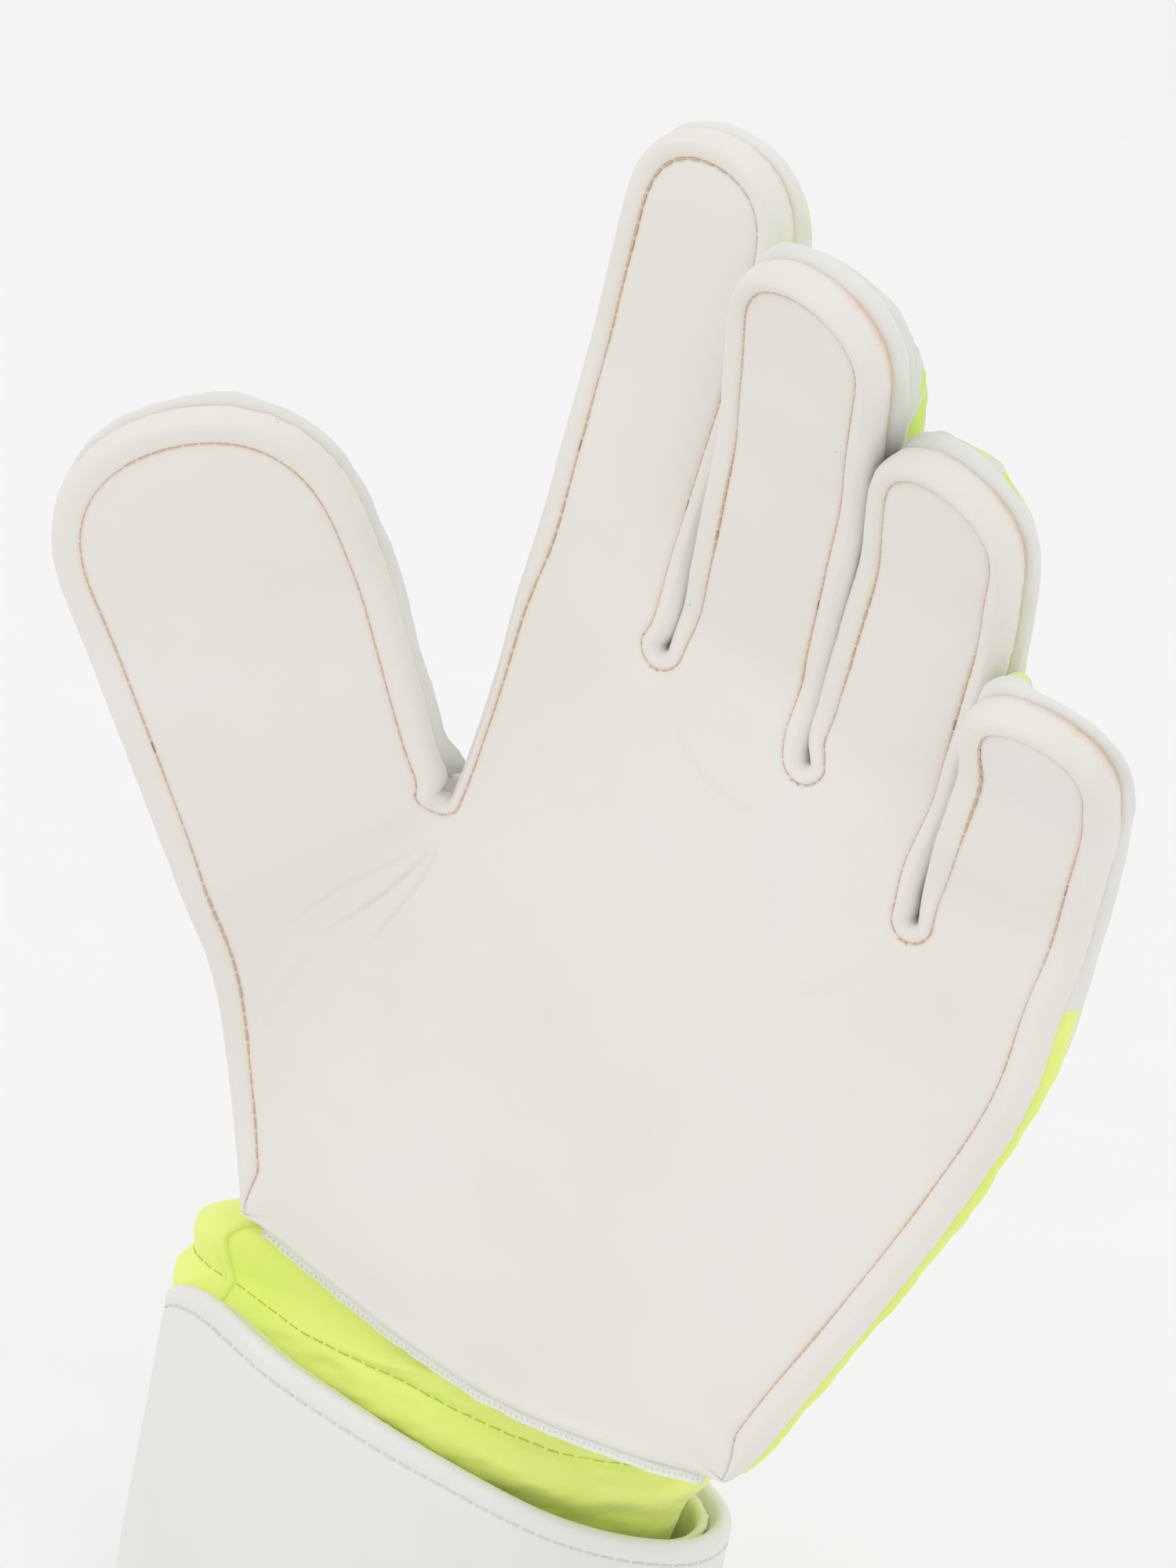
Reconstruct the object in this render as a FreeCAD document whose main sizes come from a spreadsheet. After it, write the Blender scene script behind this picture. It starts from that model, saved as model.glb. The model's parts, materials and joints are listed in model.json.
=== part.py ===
import FreeCAD, Part
import os
from math import cos, radians, sin

import Sketcher

# Goalkeeper glove for the left hand, standing on its wrist strap. +Z runs along the forearm towards
# the fingertips, the palm faces -Y, the thumb is at -X. The origin is the centre of the wrist opening.

FINGERS = ("index", "middle", "ring", "little")
DIGITS = FINGERS + ("thumb",)

SIZES = {
    # palm side: latex foam on a backing, and the plane of its outer face
    "palm_depth": 26.0,
    "palm_foam": 6.5,
    "lining_thickness": 1.0,
    "wall_thickness": 2.5,
    "wall_inset": 1.5,
    # digits: outer thickness, back pad, and where the hinge line lies under the palm face
    "digit_thickness": 26.0,
    "digit_back": 8.5,
    "back_inset": 2.5,
    "back_round": 5.0,
    "back_hollow": 4.0,
    "hinge_depth": 1.5,
    "pad_gap": 1.5,
    "wall_gap": 2.0,
    "back_gap": 2.8,
    # index finger: base, lean, curl, spacing of its two hinges, length and half widths
    "index_x": 11.4,
    "index_z": 205.4,
    "index_lean": 8.0,
    "index_roll": -1.0,
    "index_curl": 3.0,
    "index_bend": 6.0,
    "index_knuckle": 9.0,
    "index_middle": 44.0,
    "index_length": 83.5,
    "index_radial_base": 14.2,
    "index_radial": 15.2,
    "index_ulnar_base": 13.0,
    "index_ulnar": 15.0,
    # middle finger
    "middle_x": 38.6,
    "middle_z": 200.8,
    "middle_lean": 14.0,
    "middle_roll": 0.0,
    "middle_curl": 23.0,
    "middle_bend": 9.0,
    "middle_knuckle": 9.0,
    "middle_middle": 48.0,
    "middle_length": 90.5,
    "middle_radial_base": 13.0,
    "middle_radial": 14.2,
    "middle_ulnar_base": 13.4,
    "middle_ulnar": 13.8,
    # ring finger
    "ring_x": 65.7,
    "ring_z": 191.8,
    "ring_lean": 15.0,
    "ring_roll": 0.0,
    "ring_curl": 21.0,
    "ring_bend": 12.0,
    "ring_knuckle": 9.0,
    "ring_middle": 43.0,
    "ring_length": 79.5,
    "ring_radial_base": 13.2,
    "ring_radial": 13.8,
    "ring_ulnar_base": 12.0,
    "ring_ulnar": 12.8,
    # little finger
    "little_x": 94.0,
    "little_z": 175.0,
    "little_lean": 8.5,
    "little_roll": 6.0,
    "little_curl": 22.0,
    "little_bend": 19.0,
    "little_knuckle": 9.0,
    "little_middle": 33.0,
    "little_length": 60.0,
    "little_radial_base": 13.4,
    "little_radial": 13.2,
    "little_ulnar_base": 15.0,
    "little_ulnar": 15.4,
    # thumb: its base is given in the flat palm, before the ball of the thumb is folded forward
    "thumb_x": -26.9,
    "thumb_z": 157.7,
    "thumb_lean": -25.7,
    "thumb_fold": 30.0,
    "thumb_curl": 0.0,
    "thumb_bend": 4.0,
    "thumb_knuckle": 9.0,
    "thumb_middle": 40.0,
    "thumb_length": 77.0,
    "thumb_radial_base": 25.5,
    "thumb_radial": 25.5,
    "thumb_ulnar_base": 22.5,
    "thumb_ulnar": 25.0,
    # palm outline: crotches between the digits, heel and little finger border
    "crotch_thumb_x": -6.6,
    "crotch_thumb_z": 167.5,
    "crotch_index_x": 25.4,
    "crotch_index_z": 203.0,
    "crotch_middle_x": 54.0,
    "crotch_middle_z": 194.0,
    "crotch_ring_x": 79.4,
    "crotch_ring_z": 175.5,
    "heel_thumb_x": -33.2,
    "heel_thumb_z": 86.9,
    "heel_middle_x": 19.0,
    "heel_middle_z": 74.5,
    "heel_little_x": 69.5,
    "heel_little_z": 79.0,
    "border_x": 93.0,
    "border_z": 124.0,
    "border_top_x": 108.0,
    "border_top_z": 168.0,
    "ball_low_x": -38.0,
    "ball_low_z": 108.0,
    "ball_high_x": -43.5,
    "ball_high_z": 131.0,
    "fold_overlap": 4.0,
    "fold_apex": 6.0,
    # back of the hand: a padded panel that rises towards the wrist
    "hand_back": 8.0,
    "hand_back_knuckle_depth": 30.0,
    "hand_back_heel_depth": 46.0,
    "hand_back_top_z": 200.0,
    "hand_back_span": 116.0,
    # cuff bandage: knitted tube from inside the strap up into the hand
    "cuff_wall": 2.5,
    "cuff_low_z": 6.0,
    "cuff_low_half_width": 43.0,
    "cuff_low_half_depth": 22.5,
    "cuff_middle_z": 50.0,
    "cuff_middle_x": 1.5,
    "cuff_middle_half_width": 41.5,
    "cuff_middle_half_depth": 21.5,
    "cuff_high_z": 84.0,
    "cuff_high_x": 18.0,
    "cuff_high_y": -1.5,
    "cuff_high_half_width": 45.0,
    "cuff_high_half_depth": 17.0,
    "cuff_high_turn": 0.0,
    "cuff_hem_gap": 0.4,
    "cuff_hem_height": 5.0,
    "cuff_hem_thickness": 1.0,
    # wrist strap: an oval ring, turned a little about Z, its top edge slanting down to the little finger
    "strap_half_width": 51.5,
    "strap_half_depth": 30.5,
    "strap_turn": 20.0,
    "strap_wall": 4.5,
    "strap_top_thumb_z": 72.0,
    "strap_top_little_z": 48.5,
    "strap_lining": 1.5,
    "strap_lining_rise": 2.0,
    # closure at the back of the wrist
    "patch_thickness": 1.0,
    "patch_low_z": 12.0,
    "patch_height": 30.0,
    "tail_gap": 0.4,
    "tail_thickness": 3.0,
    "tail_low_z": 8.0,
    "tail_height": 38.0,
    "tail_root_angle": 152.0,
    "tail_tip_angle": 62.0,
    "tail_grip_angle": 6.0,
    "patch_margin_angle": 6.0,
}

doc = FreeCAD.newDocument("goalkeeper_glove")
sheet = doc.addObject("Spreadsheet::Sheet", "dims")
for row, (alias, number) in enumerate(SIZES.items(), start=1):
    sheet.set(f"A{row}", alias.replace("_", " "))
    sheet.set(f"B{row}", str(number))
    sheet.setAlias(f"B{row}", alias)
doc.recompute()

PARTS = []


class Size:
    """A number taken from the sheet, kept together with the expression that gives it."""

    def __init__(self, value, text):
        self.value = value
        self.text = text

    def __add__(self, other):
        other = as_size(other)
        return Size(self.value + other.value, f"({self.text} + {other.text})")

    def __sub__(self, other):
        other = as_size(other)
        return Size(self.value - other.value, f"({self.text} - {other.text})")

    def __mul__(self, other):
        other = as_size(other)
        return Size(self.value * other.value, f"({self.text} * {other.text})")

    def __truediv__(self, other):
        other = as_size(other)
        return Size(self.value / other.value, f"({self.text} / {other.text})")

    def __neg__(self):
        return Size(-self.value, f"(-1 * {self.text})")


def as_size(number):
    """A bare number as a Size."""
    if isinstance(number, Size):
        return number
    return Size(float(number), f"({float(number):.6f})")


def size(alias):
    """The sheet cell with this alias."""
    return Size(float(sheet.get(alias)), f"dims.{alias}")


def bind(obj, prop, length):
    """Give a property its length from the sheet."""
    setattr(obj, prop, length.value)
    obj.setExpression(prop, length.text)


def vector(x, y, z):
    """A vector from numbers or sizes."""
    return FreeCAD.Vector(as_size(x).value, as_size(y).value, as_size(z).value)


# ---------------------------------------------------------------- local frames

def placement(origin, lateral, distal):
    """Local x runs across the piece, y along it and z out of its palm side."""
    palmward = lateral.cross(distal)
    rows = []
    for axis in ("x", "y", "z"):
        rows += [getattr(lateral, axis), getattr(distal, axis), getattr(palmward, axis), getattr(origin, axis)]
    return FreeCAD.Placement(FreeCAD.Matrix(*rows, 0.0, 0.0, 0.0, 1.0))


def turned(direction, axis, degrees_turned):
    """A direction turned about an axis."""
    return FreeCAD.Rotation(axis, degrees_turned).multVec(direction)


def palm_placement():
    """The flat palm: local x is +X, local y is +Z and local z is the palm's outer side."""
    return placement(vector(0, -size("palm_depth"), 0), vector(1, 0, 0), vector(0, 0, 1))


def fold_turn():
    """The rotation that folds the ball of the thumb forward about the line from heel to crotch."""
    crotch = vector(size("crotch_thumb_x"), -size("palm_depth"), size("crotch_thumb_z"))
    heel = vector(size("heel_thumb_x"), -size("palm_depth"), size("heel_thumb_z"))
    line = (crotch - heel).normalize()
    apex = crotch + line * size("fold_apex").value
    rotation = FreeCAD.Rotation(line, size("thumb_fold").value)
    return FreeCAD.Placement(vector(0, 0, 0), rotation, apex)


class Digit:
    """The frames of one digit: its base on the hand, its knuckle segment and its tip segment."""

    def __init__(self, name):
        self.name = name
        lean = radians(self.dim("lean").value)
        distal = vector(sin(lean), 0, cos(lean))
        lateral = vector(cos(lean), 0, -sin(lean))
        origin = vector(self.dim("x"), -size("palm_depth"), self.dim("z"))
        if name == "thumb":
            turn = fold_turn()
            origin = turn.multVec(origin)
            distal = turn.Rotation.multVec(distal)
            lateral = turn.Rotation.multVec(lateral)
        else:
            lateral = turned(lateral, distal, self.dim("roll").value)
        self.lateral = lateral
        depth = size("hinge_depth").value
        inward = distal.cross(lateral)
        self.knuckle = origin + distal * self.dim("knuckle").value + inward * depth
        proximal = turned(distal, lateral, self.dim("curl").value)
        self.middle = self.knuckle + proximal * self.proximal_length().value
        tip = turned(proximal, lateral, self.dim("bend").value)
        self.base_frame = placement(origin, lateral, distal)
        self.proximal_frame = placement(self.knuckle - proximal.cross(lateral) * depth, lateral, proximal)
        self.distal_frame = placement(self.middle - tip.cross(lateral) * depth, lateral, tip)

    def dim(self, word):
        """One of this digit's own sizes."""
        return size(f"{self.name}_{word}")

    def proximal_length(self):
        """From knuckle hinge to middle hinge."""
        return self.dim("middle") - self.dim("knuckle")

    def distal_length(self):
        """From middle hinge to the tip."""
        return self.dim("length") - self.dim("middle")


# ---------------------------------------------------------------- sketch and feature helpers

def make_body(label):
    """An empty body whose label is the node's name."""
    body = doc.addObject("PartDesign::Body", label)
    body.Label = label
    return body


def attach(sketch, body, role, offset):
    """Put a sketch on one of its own body's origin planes, moved along the plane's normal."""
    plane = [feature for feature in body.Origin.OriginFeatures if feature.Role == role][0]
    sketch.AttachmentSupport = [(plane, "")]
    sketch.MapMode = "FlatFace"
    sketch.AttachmentOffset = FreeCAD.Placement(FreeCAD.Vector(0, 0, offset.value), FreeCAD.Rotation())
    sketch.setExpression("AttachmentOffset.Base.z", offset.text)


def pin(sketch, geometry, end, axis, length):
    """Fix one coordinate of a point, and bind it to the sheet."""
    if abs(length.value) < 1e-9:
        line = -2 if axis == "X" else -1
        sketch.addConstraint(Sketcher.Constraint("PointOnObject", geometry, end, line))
        return
    index = sketch.addConstraint(Sketcher.Constraint(f"Distance{axis}", -1, 1, geometry, end, length.value))
    sketch.setExpression(f"Constraints[{index}]", length.text)


def end_at(sketch, geometry, point):
    """Which end of a sketched curve lies at a point: 1 for its start, 2 for its end."""
    return 1 if sketch.getPoint(geometry, 1).distanceToPoint(point) < 1e-6 else 2


def draw_outline(body, name, corners, offset, role="XY_Plane"):
    """A closed sketch. A corner is (x, y), or (x, y, via) where an arc through via leads to the next."""
    sketch = body.newObject("Sketcher::SketchObject", name)
    attach(sketch, body, role, offset)
    flat = [vector(corner[0], corner[1], 0) for corner in corners]
    geometry = []
    for number, corner in enumerate(corners):
        after = flat[(number + 1) % len(flat)]
        if len(corner) == 3:
            via = vector(corner[2][0], corner[2][1], 0)
            geometry.append(Part.Arc(flat[number], via, after))
        else:
            geometry.append(Part.LineSegment(flat[number], after))
    sketch.addGeometry(geometry, False)
    for number, corner in enumerate(corners):
        before = (number - 1) % len(corners)
        end = end_at(sketch, number, flat[number])
        before_end = end_at(sketch, before, flat[number])
        sketch.addConstraint(Sketcher.Constraint("Coincident", before, before_end, number, end))
        pin(sketch, number, end, "X", as_size(corner[0]))
        pin(sketch, number, end, "Y", as_size(corner[1]))
    return sketch


def pad(body, name, sketch, length, reverse=False):
    """Thicken a sketch, away from the palm side when reversed."""
    feature = body.newObject("PartDesign::Pad", name)
    feature.Profile = sketch
    feature.Reversed = reverse
    bind(feature, "Length", length)
    sketch.Visibility = False
    return feature


def hollow(body, name, sketch, length):
    """Cut a sketch into the body, and make sure that it removed something."""
    doc.recompute()
    before = body.Shape.Volume
    feature = body.newObject("PartDesign::Pocket", name)
    feature.Profile = sketch
    bind(feature, "Length", length)
    doc.recompute()
    if body.Shape.Volume >= before - 1e-6:
        raise RuntimeError(f"{body.Label}: {name} cuts nothing")
    return feature


def round_back_edges(body, feature, depth, radius, keep_below):
    """Fillet the outer edges of a back pad, except the straight edge at the hinge."""
    doc.recompute()
    names = []
    for number, edge in enumerate(feature.Shape.Edges, start=1):
        heights = [vertex.Point.z for vertex in edge.Vertexes]
        along = [vertex.Point.y for vertex in edge.Vertexes]
        outer = all(abs(height + depth) < 1e-5 for height in heights)
        if outer and max(along) > keep_below:
            names.append(f"Edge{number}")
    fillet = body.newObject("PartDesign::Fillet", "Rounding")
    fillet.Base = (feature, names)
    bind(fillet, "Radius", radius)
    return fillet


def finish(obj, label, place):
    """Place a finished piece, and list it for the checks and the export."""
    obj.Label = label
    obj.Placement = place
    PARTS.append(obj)
    return obj


def slab(label, corners, start, thickness, place):
    """A flat piece of constant thickness, from a depth behind the palm face inwards."""
    body = make_body(label)
    sketch = draw_outline(body, "Outline", corners, -start)
    pad(body, "Thickness", sketch, thickness, reverse=True)
    return finish(body, label, place)


# ---------------------------------------------------------------- digits

def half_widths(digit, tip):
    """Half widths on the thumb side and the little finger side, at the near and the far end."""
    near = "_base" if not tip else ""
    return (digit.dim("radial" + near), digit.dim("ulnar" + near), digit.dim("radial"), digit.dim("ulnar"))


def segment_corners(digit, tip, inset, gap):
    """The outline of one digit segment: a tapering strip, round at the fingertip."""
    radial_near, ulnar_near, radial_far, ulnar_far = half_widths(digit, tip)
    if not tip:
        far = digit.proximal_length() - gap
        return [
            (-(radial_near - inset), gap),
            (-(radial_far - inset), far),
            (ulnar_far - inset, far),
            (ulnar_near - inset, gap),
        ]
    crown = (radial_far + ulnar_far) / 2 - inset
    shoulder = digit.distal_length() - inset - crown
    via = ((ulnar_far - radial_far) / 2, digit.distal_length() - inset)
    return [
        (-(radial_near - inset), gap),
        (-(radial_far - inset), shoulder, via),
        (ulnar_far - inset, shoulder),
        (ulnar_near - inset, gap),
    ]


def digit_pad(digit, part, place):
    """Palm foam of one segment."""
    corners = segment_corners(digit, part == "distal", as_size(0), size("pad_gap"))
    slab(f"{digit.name}_{part}_pad", corners, as_size(0), size("palm_foam"), place)


def digit_back(digit, part, place):
    """Back pad of one segment: rounded outside, hollow towards the hand."""
    tip = part == "distal"
    label = f"{digit.name}_{part}_back"
    body = make_body(label)
    top = size("digit_thickness") - size("digit_back")
    corners = segment_corners(digit, tip, size("back_inset"), size("back_gap"))
    sketch = draw_outline(body, "Outline", corners, -top)
    thick = pad(body, "Thickness", sketch, size("digit_back"), reverse=True)
    lowest = size("back_gap").value + 1.0
    round_back_edges(body, thick, SIZES["digit_thickness"], size("back_round"), lowest)
    inner_inset = size("back_inset") + size("wall_thickness")
    inner = segment_corners(digit, tip, inner_inset, size("back_gap") - 1)
    if not tip:
        inner[1] = (inner[1][0], digit.proximal_length() - size("back_gap") + 1)
        inner[2] = (inner[2][0], digit.proximal_length() - size("back_gap") + 1)
    cavity = draw_outline(body, "Cavity", inner, -top)
    hollow(body, "Hollow", cavity, size("back_hollow"))
    finish(body, label, place)


def side_walls(digit, place):
    """The two gusset strips of a knuckle segment."""
    radial_near, ulnar_near, radial_far, ulnar_far = half_widths(digit, False)
    near = size("wall_gap")
    far = digit.proximal_length() - size("wall_gap")
    rise = size("digit_thickness") - size("digit_back") - size("palm_foam")
    outer = size("wall_inset")
    inner = outer + size("wall_thickness")
    sides = {
        "radial": [(-(radial_near - outer), near), (-(radial_far - outer), far),
                   (-(radial_far - inner), far), (-(radial_near - inner), near)],
        "ulnar": [(ulnar_near - inner, near), (ulnar_far - inner, far),
                  (ulnar_far - outer, far), (ulnar_near - outer, near)],
    }
    for side, corners in sides.items():
        slab(f"{digit.name}_proximal_{side}_gusset", corners, size("palm_foam"), rise, place)


def tip_wall(digit, place):
    """The gusset of a tip segment: one strip that runs round the fingertip."""
    outer = segment_corners(digit, True, size("wall_inset"), size("wall_gap"))
    inner = segment_corners(digit, True, size("wall_inset") + size("wall_thickness"), size("wall_gap"))
    crown_via = inner[1][2]
    corners = outer + [inner[3], (inner[2][0], inner[2][1], crown_via), inner[1][:2], inner[0]]
    rise = size("digit_thickness") - size("digit_back") - size("palm_foam")
    slab(f"{digit.name}_distal_gusset", corners, size("palm_foam"), rise, place)


def build_digit(digit):
    """All pieces of one digit."""
    digit_pad(digit, "proximal", digit.proximal_frame)
    digit_back(digit, "proximal", digit.proximal_frame)
    side_walls(digit, digit.proximal_frame)
    digit_pad(digit, "distal", digit.distal_frame)
    digit_back(digit, "distal", digit.distal_frame)
    tip_wall(digit, digit.distal_frame)


# ---------------------------------------------------------------- palm

def stub_corner(digit, side):
    """Where the palm foam ends under a finger, as a point of the flat palm."""
    lean = radians(digit.dim("lean").value)
    across = -digit.dim("radial_base") if side == "radial" else digit.dim("ulnar_base")
    along = digit.dim("knuckle") - size("pad_gap")
    return (
        digit.dim("x") + across * cos(lean) + along * sin(lean),
        digit.dim("z") - across * sin(lean) + along * cos(lean),
    )


def palm_corners(digits):
    """Outline of the flat palm, from the heel round by the little finger to the thumb crotch."""
    corners = [
        (size("heel_thumb_x"), size("heel_thumb_z"), (size("heel_middle_x"), size("heel_middle_z"))),
        (size("heel_little_x"), size("heel_little_z"), (size("border_x"), size("border_z"))),
        (size("border_top_x"), size("border_top_z")),
        stub_corner(digits["little"], "ulnar"),
        stub_corner(digits["little"], "radial"),
    ]
    for name in ("ring", "middle", "index"):
        corners.append((size(f"crotch_{name}_x"), size(f"crotch_{name}_z")))
        corners.append(stub_corner(digits[name], "ulnar"))
        corners.append(stub_corner(digits[name], "radial"))
    corners.append((size("crotch_thumb_x"), size("crotch_thumb_z")))
    return corners


def ball_corners(digits, inset):
    """Outline of the ball of the thumb in the flat palm, from the fold line outwards."""
    thumb = digits["thumb"]
    radial = stub_corner(thumb, "radial")
    ulnar = stub_corner(thumb, "ulnar")
    return [
        (size("heel_thumb_x") + inset, size("heel_thumb_z") + inset),
        (size("ball_low_x") + inset, size("ball_low_z")),
        (size("ball_high_x") + inset, size("ball_high_z")),
        (radial[0] + inset, radial[1] - inset / 2),
        (ulnar[0] - inset / 2, ulnar[1] - inset),
        (size("crotch_thumb_x") + size("fold_overlap") * as_size(0.2), size("crotch_thumb_z") - inset),
        (size("heel_thumb_x") + size("fold_overlap"), size("heel_thumb_z") + inset),
    ]


def build_palm(digits):
    """Palm foam: the flat palm and the ball of the thumb in one piece, and the lining behind it."""
    flat = make_body("palm_flat")
    sketch = draw_outline(flat, "Outline", palm_corners(digits), as_size(0))
    pad(flat, "Thickness", sketch, size("palm_foam"), reverse=True)
    flat.Placement = palm_placement()
    ball = make_body("palm_ball")
    sketch = draw_outline(ball, "Outline", ball_corners(digits, as_size(0)), as_size(0))
    pad(ball, "Thickness", sketch, size("palm_foam"), reverse=True)
    ball.Placement = fold_turn().multiply(palm_placement())
    joined = doc.addObject("Part::MultiFuse", "palm_pad")
    joined.Shapes = [flat, ball]
    joined.Label = "palm_pad"
    PARTS.append(joined)
    inset = 4
    corners = [
        (size("heel_thumb_x") + 10, size("heel_thumb_z") + 14),
        (size("heel_little_x") - inset * 2, size("heel_little_z") + 14),
        (size("border_x") - inset * 4, size("border_z")),
        (size("crotch_ring_x") + inset * 3, size("crotch_ring_z") - inset),
        (size("crotch_index_x"), size("crotch_index_z") - inset),
        (size("crotch_thumb_x") + inset, size("crotch_thumb_z")),
    ]
    slab("palm_lining", corners, size("palm_foam"), size("lining_thickness"), palm_placement())


# ---------------------------------------------------------------- back of the hand

def back_placement():
    """The back panel's plane leans, because the hand is thicker at the heel than at the knuckles."""
    rise = SIZES["hand_back_heel_depth"] - SIZES["hand_back_knuckle_depth"]
    span = SIZES["hand_back_span"]
    along = vector(0, -rise, span).normalize()
    depth = SIZES["hand_back_knuckle_depth"] - SIZES["hand_back"] - SIZES["palm_depth"]
    return placement(vector(0, depth, size("hand_back_top_z")), vector(1, 0, 0), along)


def back_corners(inset):
    """Outline of the back panel in its own plane, measured from the knuckle line."""
    top = size("hand_back_top_z")
    return [
        (size("heel_thumb_x") + 4 + inset, inset - size("hand_back_span")),
        (size("crotch_thumb_x") + inset, size("crotch_thumb_z") - top),
        (size("crotch_thumb_x") + 3 + inset, as_size(8) - inset),
        (size("crotch_index_x"), as_size(6) - inset),
        (size("crotch_middle_x"), size("crotch_middle_z") - top + 4 - inset),
        (size("crotch_ring_x"), size("crotch_ring_z") - top + 4 - inset),
        (size("border_top_x") - 3 - inset, size("border_top_z") - top + 2 - inset),
        (size("border_x") - 3 - inset, size("border_z") - top),
        (size("heel_little_x") - inset, inset - size("hand_back_span")),
    ]


def build_back():
    """Back panel with rounded edges, hollow inside, and its lining."""
    body = make_body("back_panel")
    sketch = draw_outline(body, "Outline", back_corners(as_size(1)), as_size(0))
    thick = pad(body, "Thickness", sketch, size("hand_back"), reverse=True)
    round_back_edges(body, thick, SIZES["hand_back"], size("back_round"), -1000.0)
    cavity = draw_outline(body, "Cavity", back_corners(size("wall_thickness") + 2), as_size(0))
    hollow(body, "Hollow", cavity, size("back_hollow"))
    finish(body, "back_panel", back_placement())
    lining = back_corners(size("wall_thickness") + 3)
    slab("back_lining", lining, size("back_hollow") - size("lining_thickness"), size("lining_thickness"),
         back_placement())


def wall(label, foot, head, foot_depth, head_depth, turn=None):
    """A gusset wall that stands on the palm foam, from one point of the flat palm to another."""
    start = vector(foot[0], 0, foot[1])
    end = vector(head[0], 0, head[1])
    length = start.distanceToPoint(end)
    along = (end - start).normalize()
    inward = vector(0, 1, 0)
    origin = vector(foot[0], -size("palm_depth"), foot[1])
    place = placement(origin, along, inward)
    if turn is not None:
        place = turn.multiply(place)
    body = make_body(label)
    corners = [
        (as_size(0), size("palm_foam")),
        (as_size(length), size("palm_foam")),
        (as_size(length), head_depth),
        (as_size(0), foot_depth),
    ]
    sketch = draw_outline(body, "Outline", corners, as_size(0))
    pad(body, "Thickness", sketch, size("wall_thickness"))
    finish(body, label, place)


def build_hand_walls(digits):
    """Gussets along the little finger border, the ball of the thumb and the web of the thumb."""
    inset = size("wall_inset") + size("wall_thickness")
    clear = as_size(0.5)
    heel = size("hand_back_heel_depth") - size("hand_back") - clear
    knuckle = size("hand_back_knuckle_depth") - size("hand_back") - clear
    wall("ulnar_gusset",
         (size("heel_little_x") - inset / 2, size("heel_little_z") + 8),
         (size("border_top_x") - inset * as_size(1.6), size("border_top_z") - 3),
         heel - 2, knuckle + 4)
    wall("web_gusset",
         (size("crotch_thumb_x") + inset + 3, size("crotch_thumb_z") + 4),
         (size("crotch_thumb_x") + inset + 4, size("index_z") + 1),
         knuckle, knuckle - 1)
    thumb = digits["thumb"]
    radial = stub_corner(thumb, "radial")
    thumb_depth = size("digit_thickness") - size("digit_back")
    wall("radial_gusset",
         (size("heel_thumb_x") + 2, size("heel_thumb_z") + 10),
         (radial[0] + 3, radial[1] - 1),
         thumb_depth, thumb_depth, fold_turn())
    corners = ball_corners(digits, as_size(3))
    slab("thenar_back", corners, thumb_depth, size("digit_back"), fold_turn().multiply(palm_placement()))


# ---------------------------------------------------------------- wrist

def strap_placement(height):
    """The strap's oval, turned about Z, at a height."""
    return FreeCAD.Placement(vector(0, 0, height), FreeCAD.Rotation(vector(0, 0, 1), SIZES["strap_turn"]))


def oval(grow):
    """The strap's outer oval, grown outwards."""
    return Part.Ellipse(vector(0, 0, 0), (size("strap_half_width") + grow).value,
                        (size("strap_half_depth") + grow).value)


def strap_ring(label, outer, inner, bottom):
    """An oval ring whose top follows the strap's slanting edge."""
    body = make_body(label)
    sketch = body.newObject("Sketcher::SketchObject", "Oval")
    attach(sketch, body, "XY_Plane", as_size(0))
    sketch.addGeometry([oval(outer), oval(inner)], False)
    height = size("strap_top_thumb_z") + 5 - bottom
    pad(body, "Height", sketch, height)
    left = -size("strap_half_width") - 8
    right = size("strap_half_width") + 8
    corners = [
        (left, size("strap_top_thumb_z") + 2 - bottom),
        (right, size("strap_top_little_z") - 2 - bottom),
        (right, size("strap_top_thumb_z") + 10 - bottom),
        (left, size("strap_top_thumb_z") + 10 - bottom),
    ]
    slant = draw_outline(body, "Slant", corners, as_size(0), role="XZ_Plane")
    cut = body.newObject("PartDesign::Pocket", "SlantCut")
    cut.Profile = slant
    cut.Type = 1
    cut.Midplane = True
    finish(body, label, strap_placement(bottom))


def strap_sector(label, inner, thickness, low, height, root, tip):
    """A curved strip that lies on the outside of the strap between two angles of the oval."""
    body = make_body(label)
    sketch = body.newObject("Sketcher::SketchObject", "Sector")
    attach(sketch, body, "XY_Plane", as_size(0))
    first = radians(tip.value)
    last = radians(root.value)
    near = Part.ArcOfEllipse(oval(inner), first, last)
    far = Part.ArcOfEllipse(oval(inner + thickness), first, last)
    ends = [
        Part.LineSegment(near.StartPoint, far.StartPoint),
        Part.LineSegment(near.EndPoint, far.EndPoint),
    ]
    sketch.addGeometry([near, far] + ends, False)
    pad(body, "Height", sketch, height)
    finish(body, label, strap_placement(low))


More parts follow.
